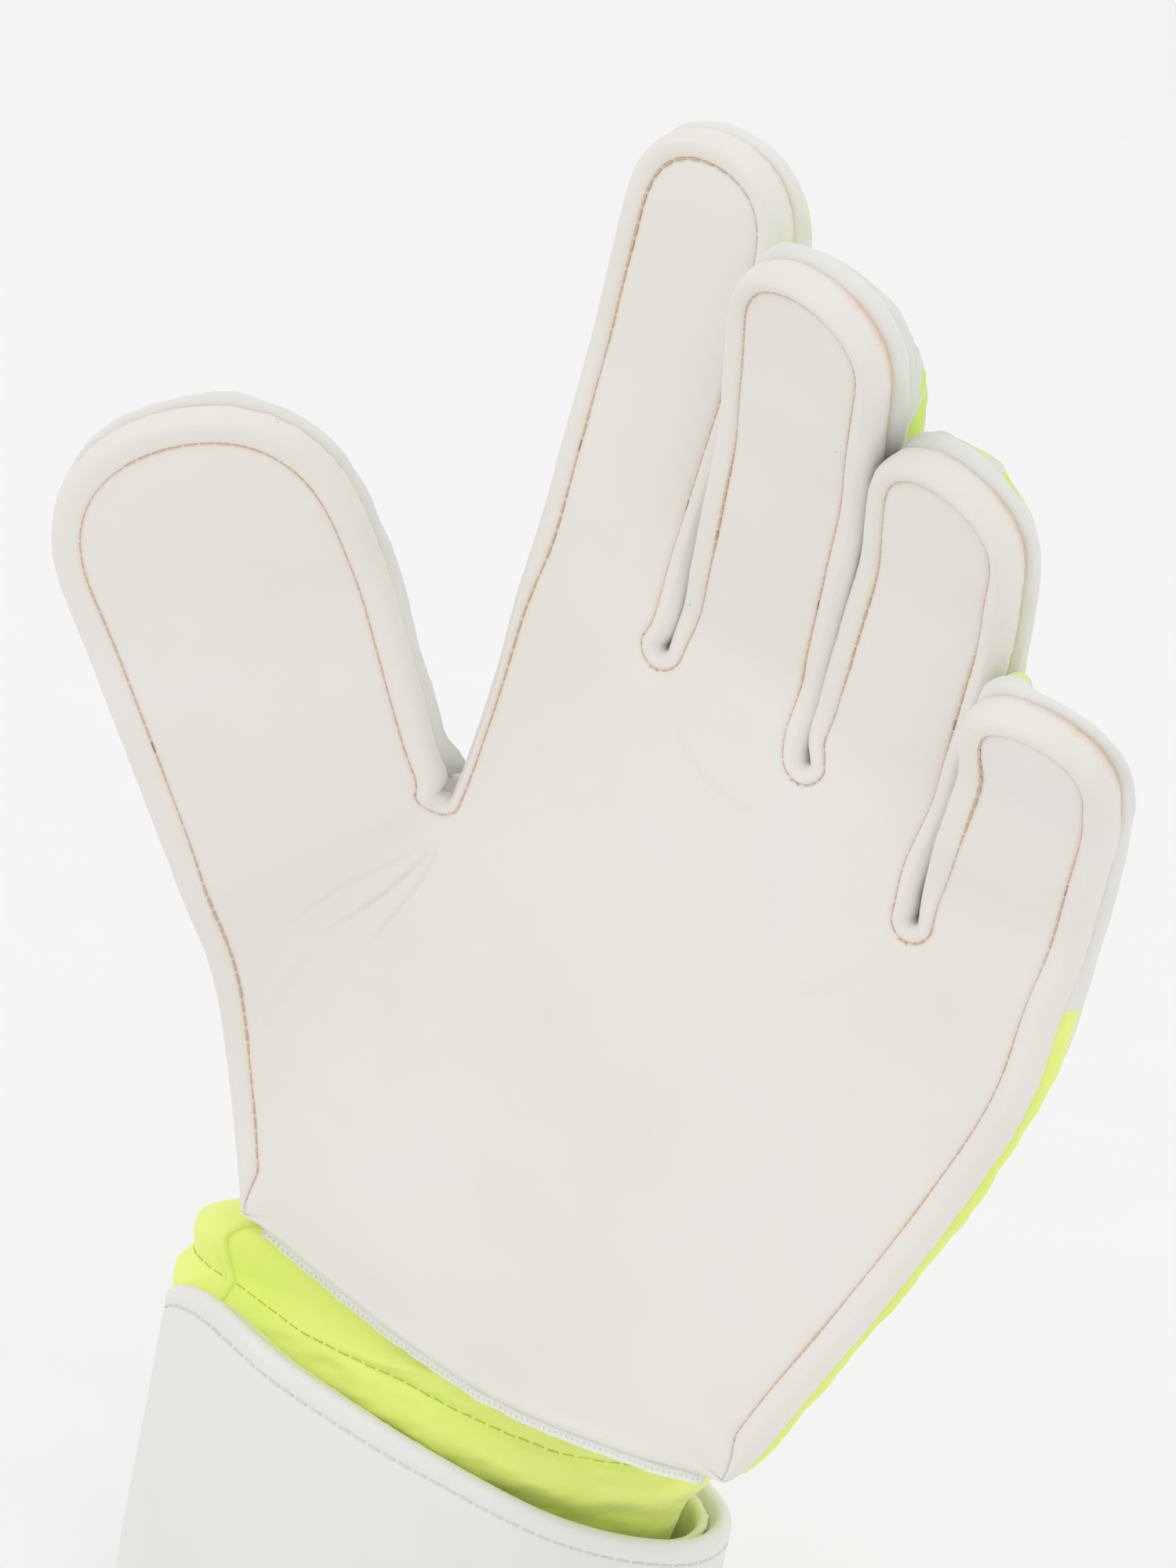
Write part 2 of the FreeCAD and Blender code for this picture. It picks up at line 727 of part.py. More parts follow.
def build_strap():
    """Strap ring, its plush lining, the loop patch, and the tail that closes over it."""
    zero = as_size(0)
    strap_ring("strap_wrap", zero, -size("strap_wall"), zero)
    inner = size("strap_wall") + size("strap_lining")
    strap_ring("strap_lining", -size("strap_wall"), -inner, size("strap_lining_rise"))
    margin = size("patch_margin_angle")
    strap_sector("loop_patch", zero, size("patch_thickness"), size("patch_low_z"), size("patch_height"),
                 size("tail_root_angle") - margin * as_size(2), size("tail_tip_angle") - margin)
    hook = size("patch_thickness") + size("tail_gap")
    strap_sector("hook_patch", hook, size("patch_thickness"), size("patch_low_z") + 1,
                 size("patch_height") - 2, size("tail_root_angle") - margin * as_size(3),
                 size("tail_tip_angle") + margin)
    tail = hook + size("patch_thickness")
    grip = size("tail_tip_angle") + size("tail_grip_angle")
    strap_sector("strap_tail", tail, size("tail_thickness"), size("tail_low_z"), size("tail_height"),
                 size("tail_root_angle"), grip)
    strap_sector("tail_grip", tail, size("tail_thickness") - 1, size("tail_low_z") + 2,
                 size("tail_height") - 4, grip, size("tail_tip_angle"))


def turned_oval(centre, half_width, half_depth, angle):
    """An oval whose long axis is turned from X by an angle."""
    turn = FreeCAD.Rotation(vector(0, 0, 1), angle)
    long_end = centre + turn.multVec(vector(half_width, 0, 0))
    short_end = centre + turn.multVec(vector(0, half_depth, 0))
    return Part.Ellipse(long_end, short_end, centre)


def cuff_low_oval(grow):
    """The cuff's lower oval, turned with the strap."""
    return turned_oval(vector(0, 0, 0), size("cuff_low_half_width") + grow,
                       size("cuff_low_half_depth") + grow, SIZES["strap_turn"])


def loft_between(body, name, grow, kind):
    """A loft up the cuff: straight inside the strap, then across to the heel of the hand."""
    low = body.newObject("Sketcher::SketchObject", f"{name}Low")
    attach(low, body, "XY_Plane", size("cuff_low_z"))
    low.addGeometry(cuff_low_oval(grow), False)
    middle = body.newObject("Sketcher::SketchObject", f"{name}Middle")
    attach(middle, body, "XY_Plane", size("cuff_middle_z"))
    centre = vector(size("cuff_middle_x"), 0, 0)
    middle.addGeometry(turned_oval(centre, size("cuff_middle_half_width") + grow,
                                   size("cuff_middle_half_depth") + grow, SIZES["strap_turn"]), False)
    high = body.newObject("Sketcher::SketchObject", f"{name}High")
    attach(high, body, "XY_Plane", size("cuff_high_z"))
    centre = vector(size("cuff_high_x"), size("cuff_high_y"), 0)
    high.addGeometry(turned_oval(centre, size("cuff_high_half_width") + grow,
                                 size("cuff_high_half_depth") + grow, SIZES["cuff_high_turn"]), False)
    loft = body.newObject(kind, name)
    loft.Profile = low
    loft.Sections = [middle, high]
    loft.Ruled = True
    return loft


def build_cuff():
    """The knitted cuff bandage and the turned hem at its lower end."""
    body = make_body("cuff_bandage")
    loft_between(body, "Outside", as_size(0), "PartDesign::AdditiveLoft")
    doc.recompute()
    loft_between(body, "Inside", -size("cuff_wall"), "PartDesign::SubtractiveLoft")
    finish(body, "cuff_bandage", FreeCAD.Placement())
    hem = make_body("cuff_hem")
    sketch = hem.newObject("Sketcher::SketchObject", "Oval")
    attach(sketch, hem, "XY_Plane", as_size(0))
    clear = size("cuff_hem_gap")
    sketch.addGeometry([cuff_low_oval(clear + size("cuff_hem_thickness")), cuff_low_oval(clear)], False)
    pad(hem, "Height", sketch, size("cuff_hem_height"))
    finish(hem, "cuff_hem", FreeCAD.Placement(vector(0, 0, size("cuff_low_z")), FreeCAD.Rotation()))


# ---------------------------------------------------------------- build, check and write

def check_and_export():
    """Recompute, refuse a failed object or a bad shape, and write one file for each piece."""
    doc.recompute()
    for obj in doc.Objects:
        if "Invalid" in obj.State or "Error" in obj.State:
            raise RuntimeError(f"{obj.Label}: {obj.State}")
    for obj in PARTS:
        if obj.Shape.isNull() or not obj.Shape.isValid() or not obj.Shape.Solids:
            raise RuntimeError(f"{obj.Label}: bad shape")
    os.makedirs("parts", exist_ok=True)
    for obj in PARTS:
        obj.Shape.exportStep(f"parts/{obj.Label}.step")


def main():
    """Build the glove from the palm outwards."""
    digits = {name: Digit(name) for name in DIGITS}
    build_palm(digits)
    build_back()
    build_hand_walls(digits)
    for digit in digits.values():
        build_digit(digit)
    build_cuff()
    build_strap()
    check_and_export()
    for name, digit in digits.items():
        for joint, point in (("knuckle", digit.knuckle), ("middle", digit.middle)):
            place = ", ".join(f"{number:.3f}" for number in point)
            axis = ", ".join(f"{number:.5f}" for number in digit.lateral)
            print(f"{name} {joint}: at {place}; axis {axis}")
    print(f"{len(PARTS)} pieces")


main()
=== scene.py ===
import json
import logging
import math
from dataclasses import dataclass, field
from enum import Enum
from typing import Callable, Iterable, Optional, Sequence

import bpy
import numpy as np
from bpy.types import Material, Node, NodeSocket, NodeTree, Object
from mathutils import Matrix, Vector, geometry, noise


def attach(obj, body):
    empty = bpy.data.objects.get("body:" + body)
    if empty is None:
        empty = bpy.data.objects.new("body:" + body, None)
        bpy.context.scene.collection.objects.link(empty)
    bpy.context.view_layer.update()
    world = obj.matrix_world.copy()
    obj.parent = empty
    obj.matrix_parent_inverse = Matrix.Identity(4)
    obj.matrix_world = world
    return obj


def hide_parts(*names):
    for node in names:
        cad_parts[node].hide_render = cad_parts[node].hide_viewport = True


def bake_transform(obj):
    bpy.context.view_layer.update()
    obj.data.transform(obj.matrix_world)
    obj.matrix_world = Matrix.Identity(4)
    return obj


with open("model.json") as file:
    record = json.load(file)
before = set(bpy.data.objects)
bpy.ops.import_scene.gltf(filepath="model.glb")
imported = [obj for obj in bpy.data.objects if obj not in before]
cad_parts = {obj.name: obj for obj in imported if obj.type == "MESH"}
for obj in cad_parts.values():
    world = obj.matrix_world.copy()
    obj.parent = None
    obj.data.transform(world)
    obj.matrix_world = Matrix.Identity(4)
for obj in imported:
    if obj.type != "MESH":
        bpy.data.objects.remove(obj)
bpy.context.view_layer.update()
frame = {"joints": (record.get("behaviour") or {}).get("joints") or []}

logging.basicConfig(level=logging.INFO, format="%(message)s")
LOG = logging.getLogger("glove")

Array = np.ndarray
MM = 0.001


# ---------------------------------------------------------------- small numeric helpers

def smooth(t: Array) -> Array:
    """Ease from 0 to 1 with level ends."""
    t = np.clip(t, 0.0, 1.0)
    return t * t * (3.0 - 2.0 * t)


def unit(v: Array) -> Array:
    """A vector, or each row of an array of vectors, at length one."""
    return v / np.maximum(np.linalg.norm(v, axis=-1, keepdims=True), 1e-12)


def turn(v: Array, axis: Array, angle: Array) -> Array:
    """Rotate rows about an axis.

    Args:
        v: Rows of vectors.
        axis: One unit axis.
        angle: Radians, one number or one for each row.

    Returns:
        The turned rows.
    """
    v = np.atleast_2d(v)
    c = np.cos(angle).reshape(-1, 1) if np.ndim(angle) else math.cos(angle)
    s = np.sin(angle).reshape(-1, 1) if np.ndim(angle) else math.sin(angle)
    along = (v @ axis)[:, None] * axis
    return v * c + np.cross(axis, v) * s + along * (1 - c)


def wander(points: Array, scale: float, seed: float, depth: int = 2) -> Array:
    """Smooth noise at each row of points, about -1 to 1.

    Args:
        points: Rows of two or three numbers in millimetres.
        scale: Size of a bump in millimetres.
        seed: Shifts the pattern.
        depth: Layers of finer detail.

    Returns:
        One number for each row.
    """
    out = np.empty(len(points))
    for n, p in enumerate(points):
        place = Vector((p[0] / scale, p[1] / scale, seed + (p[2] / scale if len(p) > 2 else 0.0)))
        out[n] = noise.fractal(place, 0.6, 2.1, depth)
    return out


def catmull(points: Sequence[Sequence[float]], step: float) -> Array:
    """A smooth curve through a few points.

    Args:
        points: The points it passes.
        step: Spacing of the result.

    Returns:
        Rows along the curve, with both ends.
    """
    p = np.array(points, float)
    p = np.vstack([2 * p[0] - p[1], p, 2 * p[-1] - p[-2]])
    rows = [p[1]]
    for n in range(1, len(p) - 2):
        count = max(2, int(np.linalg.norm(p[n + 1] - p[n]) / step))
        for k in range(1, count + 1):
            t = k / count
            rows.append(0.5 * ((2 * p[n]) + (p[n + 1] - p[n - 1]) * t
                               + (2 * p[n - 1] - 5 * p[n] + 4 * p[n + 1] - p[n + 2]) * t * t
                               + (3 * p[n] - p[n - 1] - 3 * p[n + 1] + p[n + 2]) * t ** 3))
    return np.array(rows)


def inside(points: Array, loop: Array) -> Array:
    """Which points lie inside a closed loop.

    Args:
        points: Rows of two numbers.
        loop: The loop's corners in order.

    Returns:
        True or False for each point.
    """
    x, y = points[:, 0][:, None], points[:, 1][:, None]
    x0, y0 = loop[:, 0][None], loop[:, 1][None]
    x1, y1 = np.roll(loop[:, 0], -1)[None], np.roll(loop[:, 1], -1)[None]
    crosses = (y0 > y) != (y1 > y)
    safe = np.where(np.abs(y1 - y0) < 1e-12, 1e-12, y1 - y0)
    return (np.sum(crosses & (x < (x1 - x0) * (y - y0) / safe + x0), axis=1) % 2) == 1


# ---------------------------------------------------------------- how the flat pattern becomes a hand

@dataclass
class Digit:
    """One finger or the thumb: its place in the flat pattern and how it bends. Millimetres and degrees."""

    name: str
    curl: float
    bend: float
    roll: float
    tip_length: float
    radial_base: float
    radial: float
    ulnar_base: float
    ulnar: float
    ramp: float
    groove_radial: float
    groove_ulnar: float
    groove_tip: float
    thickness: float = 25.0
    tip_taper: float = 12.0
    taper_run: float = 34.0
    reach: float = 9.0
    hinge_depth: float = 1.5

    def place(self, hand: "Hand") -> None:
        """Find the digit's frame from its two joints.

        Args:
            hand: Gives the fold of the thumb.
        """
        joints = {joint["name"]: joint for joint in frame["joints"]}
        knuckle = joints[f"{self.name}_knuckle"]
        middle = joints[f"{self.name}_mid_bend"]
        self.pivot = np.array(knuckle["pos_m"]) / MM
        self.pivot_middle = np.array(middle["pos_m"]) / MM
        self.lateral = unit(np.array(knuckle["axis"], float))
        ahead = self.pivot_middle - self.pivot
        self.middle = self.reach + float(np.linalg.norm(ahead))
        self.proximal = unit(ahead)
        self.distal = turn(self.proximal, self.lateral, -math.radians(self.curl))[0]
        self.tip_direction = turn(self.proximal, self.lateral, math.radians(self.bend))[0]
        self.inward = np.cross(self.distal, self.lateral)
        root = self.pivot - self.distal * self.reach - self.inward * self.hinge_depth
        flat_distal = self.distal
        if self.name == "thumb":
            root = hand.unfold(root)
            flat_distal = hand.unfold_direction(self.distal)
        self.root = root
        self.flat_distal = unit(np.array([flat_distal[0], flat_distal[2]]))
        self.flat_lateral = np.array([self.flat_distal[1], -self.flat_distal[0]])
        self.root2 = np.array([root[0], root[2]])
        self.length = self.middle + self.tip_length
        self.cut = (2 * self.reach + self.middle - self.ramp) / 2

    def lead(self, spots: Sequence[Array]) -> float:
        """How far along the digit the slits beside it begin, where that is past its root."""
        return max(0.0, *(float(self.local(spot)[1]) for spot in spots))

    def to_flat(self, x: float, s: float) -> Array:
        """A point given across and along the digit, in the flat pattern."""
        return self.root2 + self.flat_lateral * x + self.flat_distal * s

    def local(self, flat: Array) -> tuple[Array, Array]:
        """Flat points as across and along the digit."""
        rel = flat - self.root2
        return rel @ self.flat_lateral, rel @ self.flat_distal

    def half_width(self, s: float, radial: bool) -> float:
        """Half width at a distance along the digit, on one side."""
        t = min(max((s - self.reach) / (self.middle - self.reach), 0.0), 1.0)
        near, far = (self.radial_base, self.radial) if radial else (self.ulnar_base, self.ulnar)
        return near + (far - near) * t

    def lift(self, flat: Array, depth: Array, hand: "Hand") -> Array:
        """Bend flat points of this digit into their place on the hand at rest.

        Args:
            flat: Rows in the flat pattern.
            depth: Depth of each below the palm's outer face.
            hand: Gives the palm plane and the thumb's fold.

        Returns:
            Rows in millimetres in the object's frame.
        """
        x, s = self.local(flat)
        along, down = s.copy(), depth.copy()
        for centre, angle, low, high in (
            (self.middle, self.bend, self.middle - self.ramp, self.middle + self.ramp),
            (self.reach, self.curl, 0.0, 2 * self.reach),
        ):
            t = np.radians(angle) * smooth((s - low) / (high - low))
            da, dd = along - centre, down - self.hinge_depth
            along = centre + da * np.cos(t) + dd * np.sin(t)
            down = self.hinge_depth + dd * np.cos(t) - da * np.sin(t)
        if self.name == "thumb":
            spot = self.root2 + np.outer(x, self.flat_lateral) + np.outer(along, self.flat_distal)
            world = np.stack([spot[:, 0], hand.palm_y + down, spot[:, 1]], 1)
            return hand.fold(flat, world, 1.0)
        rolled = math.radians(self.roll) * smooth(s / (2 * self.reach))
        lateral = turn(self.lateral, self.distal, -math.radians(self.roll))[0]
        inward = np.cross(self.distal, lateral)
        across = turn(np.outer(x, lateral) + np.outer(down, inward), self.distal, rolled)
        return self.root + across + np.outer(along, self.distal)


@dataclass
class Hand:
    """The palm plane, the fold of the ball of the thumb and the hand's thickness. Millimetres."""

    palm_y: float
    crotch: Array = field(default_factory=lambda: np.array([-6.6, 167.5]))
    heel_left: Array = field(default_factory=lambda: np.array([-33.2, 86.9]))
    heel_right: Array = field(default_factory=lambda: np.array([69.5, 79.0]))
    fold_angle: float = 30.0
    fold_apex: float = 12.0
    slit_foot: Array = field(default_factory=lambda: np.array([-8.4, 169.0]))
    slit_lean: float = 0.466
    slit_half: float = 0.9
    fan_right: float = 0.466
    fan_left: float = 0.70
    fan_shift: float = 2.5
    heel_thickness: float = 43.0
    knuckle_thickness: float = 31.0

    def __post_init__(self) -> None:
        line = np.array([self.crotch[0] - self.heel_left[0], 0.0, self.crotch[1] - self.heel_left[1]])
        self.line = unit(line)
        self.left = np.array([-self.line[2], 0.0, self.line[0]])
        self.apex = np.array([self.crotch[0], self.palm_y, self.crotch[1]]) + self.line * self.fold_apex

    def unfold(self, point: Array) -> Array:
        """A point of the folded thumb, laid back into the flat pattern."""
        return self.apex + turn(point - self.apex, self.line, -math.radians(self.fold_angle))[0]

    def unfold_direction(self, direction: Array) -> Array:
        """A direction of the folded thumb, laid back into the flat pattern."""
        return turn(direction, self.line, -math.radians(self.fold_angle))[0]

    def fold(self, flat: Array, world: Array, above: float) -> Array:
        """Turn points forward about the thumb's crease, the more the further round they lie.

        Args:
            flat: Where each point lies in the flat pattern, which sets how far it turns.
            world: The points themselves.
            above: Share of the turn past the crotch: 1 on the thumb, 0 on the palm.

        Returns:
            The turned points.
        """
        rel = flat - self.slit_foot
        ahead = rel @ np.array([self.line[0], self.line[2]])
        aside = rel @ np.array([self.left[0], self.left[2]])
        over, under = np.maximum(ahead, 0.0), np.maximum(-ahead, 0.0)
        shift = self.fan_shift * (1 - np.exp(-under / 10.0))
        low = shift - self.slit_half - self.fan_right * under
        high = shift + self.slit_half + self.fan_left * under
        share = smooth((aside - self.slit_lean * over - low) / (high - low))
        far = smooth((over - 8.0) / 10.0)
        share = share * (1 - far) + above * far
        return self.apex + turn(world - self.apex, self.line, np.radians(self.fold_angle) * share)

    def lift(self, flat: Array, depth: Array) -> Array:
        """Put flat points of the palm in their place.

        Args:
            flat: Rows in the flat pattern.
            depth: Depth of each below the palm's outer face.

        Returns:
            Rows in millimetres in the object's frame.
        """
        world = np.stack([flat[:, 0], self.palm_y + depth, flat[:, 1]], 1)
        return self.fold(flat, world, 0.0)


# ---------------------------------------------------------------- the flat pattern

PALM = "palm"


@dataclass
class Outline:
    """The glove's flat outline, anticlockwise seen from the palm, with what each point needs to know."""

    hand: Hand
    digits: dict[str, Digit]
    step: float = 1.5
    ease: float = 0.5
    slit: float = 0.6

    def __post_init__(self) -> None:
        self.rows: list[Array] = []
        self.groove: list[float] = []
        self.region: list[str] = []
        self.heel: list[bool] = []
        self.marks: dict[str, int] = {}
        self._draw()
        self.points = self._round_corners(np.array(self.rows), 6)
        self.groove_inset = self._settle(np.array(self.groove), 30)
        self.is_heel = np.array(self.heel)
        tangent = np.roll(self.points, -1, 0) - np.roll(self.points, 1, 0)
        normal = unit(np.stack([-tangent[:, 1], tangent[:, 0]], 1))
        for _ in range(8):
            normal = unit(normal * 2 + np.roll(normal, 1, 0) + np.roll(normal, -1, 0))
        self.normal = normal
        gap = np.linalg.norm(np.roll(self.points, -1, 0) - self.points, axis=1)
        self.run = np.concatenate([[0.0], np.cumsum(gap)[:-1]])

    @staticmethod
    def _settle(values: Array, rounds: int) -> Array:
        """Smooth a closed row of numbers."""
        for _ in range(rounds):
            values = (values * 2 + np.roll(values, 1) + np.roll(values, -1)) / 4
        return values

    def _round_corners(self, points: Array, rounds: int) -> Array:
        """Soften the corners where two stretches meet; the slits' ends and the heel stay."""
        before, after = np.roll(points, 1, 0), np.roll(points, -1, 0)
        near = np.minimum(np.linalg.norm(points - before, axis=1), np.linalg.norm(after - points, axis=1))
        heel = np.array(self.heel)
        free = ((near > 0.5) & ~heel & ~np.roll(heel, 1) & ~np.roll(heel, -1))[:, None]
        for _ in range(rounds):
            moved = (points * 2 + np.roll(points, 1, 0) + np.roll(points, -1, 0)) / 4
            points = np.where(free, moved, points)
        return points

    def _add(self, curve: Array, groove: float, region: str, heel: bool = False) -> None:
        """Append a stretch, without its last point, which starts the next one."""
        for point in curve[:-1]:
            self.rows.append(point)
            self.groove.append(groove)
            self.region.append(region)
            self.heel.append(heel)

    def _mark(self, name: str) -> None:
        """Name the point that comes next."""
        self.marks[name] = len(self.rows)

    def _line(self, a: Array, b: Array, step: Optional[float] = None) -> Array:
        """A straight stretch."""
        count = max(2, int(np.linalg.norm(np.array(b) - np.array(a)) / (step or self.step)) + 1)
        return np.array(a) + np.linspace(0, 1, count)[:, None] * (np.array(b) - np.array(a))

    def _side(self, digit: Digit, radial: bool, low: float, high: float) -> Array:
        """One side of a digit between two distances along it, from low to high."""
        count = max(2, int(abs(high - low) / self.step) + 1)
        sign = -1.0 if radial else 1.0
        rows = []
        for s in np.linspace(low, high, count):
            rows.append(digit.to_flat(sign * (digit.half_width(s, radial) + self.ease), s))
        return np.array(rows)

    def _digit(self, digit: Digit, start: float, end: float) -> None:
        """Up the little finger side of a digit, round its tip and down its thumb side.

        Args:
            digit: The digit.
            start: Where the way up begins, as a distance along the digit.
            end: Where the way down ends.
        """
        crown = (digit.radial + digit.ulnar) / 2 + self.ease
        shoulder = digit.length + self.ease - crown
        knuckle, tip = f"{digit.name}_proximal", f"{digit.name}_distal"
        self._add(self._side(digit, False, start, digit.cut), digit.groove_ulnar, knuckle)
        self._mark(f"{digit.name}_cut_ulnar")
        self._add(self._side(digit, False, digit.cut, shoulder), digit.groove_ulnar, tip)
        centre = (digit.ulnar - digit.radial) / 2
        angles = np.radians(np.linspace(0, 180, int(math.pi * crown / self.step) + 1))
        squareness = 1.0 + 0.035 * np.sin(2 * angles) ** 2
        arc = np.array([digit.to_flat(centre + crown * q * math.cos(a), shoulder + crown * q * math.sin(a))
                        for a, q in zip(angles, squareness)])
        self._add(arc, digit.groove_tip, tip)
        self._add(self._side(digit, True, shoulder, digit.cut), digit.groove_radial, tip)
        self._mark(f"{digit.name}_cut_radial")
        self._add(self._side(digit, True, digit.cut, end), digit.groove_radial, knuckle)

    def _crotch(self, name: str, right: Digit, left: Digit, spot: Array, radius: float,
                groove: float) -> None:
        """The rounded end of the slit between two digits.

        Args:
            name: Name of the mark at its deepest point.
            right: The digit on the little finger side.
            left: The digit on the thumb side.
            spot: The deepest point.
            radius: Radius of the slit's end.
            groove: Inset of the groove that runs round it.
        """
        up = unit(right.flat_distal + left.flat_distal)
        across = np.array([up[1], -up[0]])
        angles = np.radians(np.linspace(0, 180, 13))
        arc = np.array([spot + radius * (across * math.cos(a) + up * (1 - math.sin(a))) for a in angles])
        last = np.array(self.rows[-1])
        self._add(self._line(last, arc[0], 0.9)[1:], groove, f"{right.name}_proximal")
        self._add(arc[:7], groove, f"{right.name}_proximal")
        self._mark(name)
        self._add(arc[6:], groove, f"{left.name}_proximal")
        self.pending = (arc[-1], groove, f"{left.name}_proximal")

    def _join(self, target: Array) -> None:
        """From the end of a crotch to the start of the next side."""
        start, groove, region = self.pending
        self._add(self._line(start, target, 0.9), groove, region)

    def _draw(self) -> None:
        """All stretches in order."""
        hand, digits = self.hand, self.digits
        index, middle, ring, little, thumb = (digits[n] for n in ("index", "middle", "ring", "little",
            "thumb"))
        heel = catmull([hand.heel_left + (1.5, -1.0), (-14.0, 80.5), (19.0, 74.2), (46.0, 74.8),
                        hand.heel_right - (2.0, 1.0)], self.step)
        self._add(heel, 3.2, PALM, heel=True)
        start = little.to_flat(little.half_width(-1, False) + self.ease, -1.0)
        border = catmull([hand.heel_right - (2.0, 1.0), hand.heel_right + (0.6, 2.0), (75.6, 93.0),
                          (84.4, 111.0),
                          (94.4, 133.0), (102.7, 155.0), start], self.step)
        self._add(border, 4.9, PALM)
        self._mark("little_root")
        self._digit(little, -1.0, 4.5)
        ring_crotch = np.array([78.0, 178.4])
        self._crotch("ring_crotch", little, ring, ring_crotch, self.slit, 2.9)
        self._join(ring.to_flat(ring.half_width(0, False) + self.ease, -3.0))
        self._digit(ring, -3.0, 4.0)
        middle_crotch = np.array([54.0, 196.2])
        self._crotch("middle_crotch", ring, middle, middle_crotch, self.slit, 2.9)
        self._join(middle.to_flat(middle.half_width(0, False) + self.ease, 2.0))
        self._digit(middle, 2.0, 4.0)
        index_crotch = np.array([25.2, 205.4])
        self._crotch("index_crotch", middle, index, index_crotch, self.slit, 2.9)
        self._join(index.to_flat(index.half_width(0, False) + self.ease, 4.0))
        self._digit(index, 4.0, -1.0)
        self._mark("index_root")
        thumb_crotch = hand.slit_foot
        web_top = index.to_flat(-(index.half_width(0, True) + self.ease), -1.0)
        web = catmull([web_top, web_top - (0.9, 14.0), thumb_crotch + (2.2, 9.0), thumb_crotch + (1.0, 2.2)],
                      self.step)
        self._add(web, 2.4, PALM)
        angles = np.radians(np.linspace(0, 180, 13))
        up = unit(index.flat_distal + thumb.flat_distal)
        across = np.array([up[1], -up[0]])
        arc = np.array([thumb_crotch + 0.6 * (across * math.cos(a) + up * (1 - math.sin(a))) for a in angles])
        self._add(self._line(web[-1], arc[0], 0.9), 2.0, PALM)
        self._add(arc[:7], 2.6, PALM)
        self._mark("thumb_crotch")
        self._add(arc[6:], 2.6, "thumb_proximal")
        self.pending = (arc[-1], 4.0, "thumb_proximal")
        self._join(thumb.to_flat(thumb.half_width(0, False) + self.ease, 4.0))
        self._digit(thumb, 4.0, -1.0)
        self._mark("thumb_root")
        low = thumb.to_flat(-(thumb.half_width(0, True) + self.ease), -1.0)
        ball = catmull([low, (-43.2, 130.0), (-38.0, 108.0), hand.heel_left + (-0.4, 3.0),
                        hand.heel_left + (1.5, -1.0)], self.step)
        self._add(ball, 4.5, PALM)


ROOT_CUTS = {
    "little": ("little_root", "ring_crotch"),
    "ring": ("ring_crotch", "middle_crotch"),
    "middle": ("middle_crotch", "index_crotch"),
    "index": ("index_crotch", "index_root"),
    "thumb": ("thumb_crotch", "thumb_root"),
}


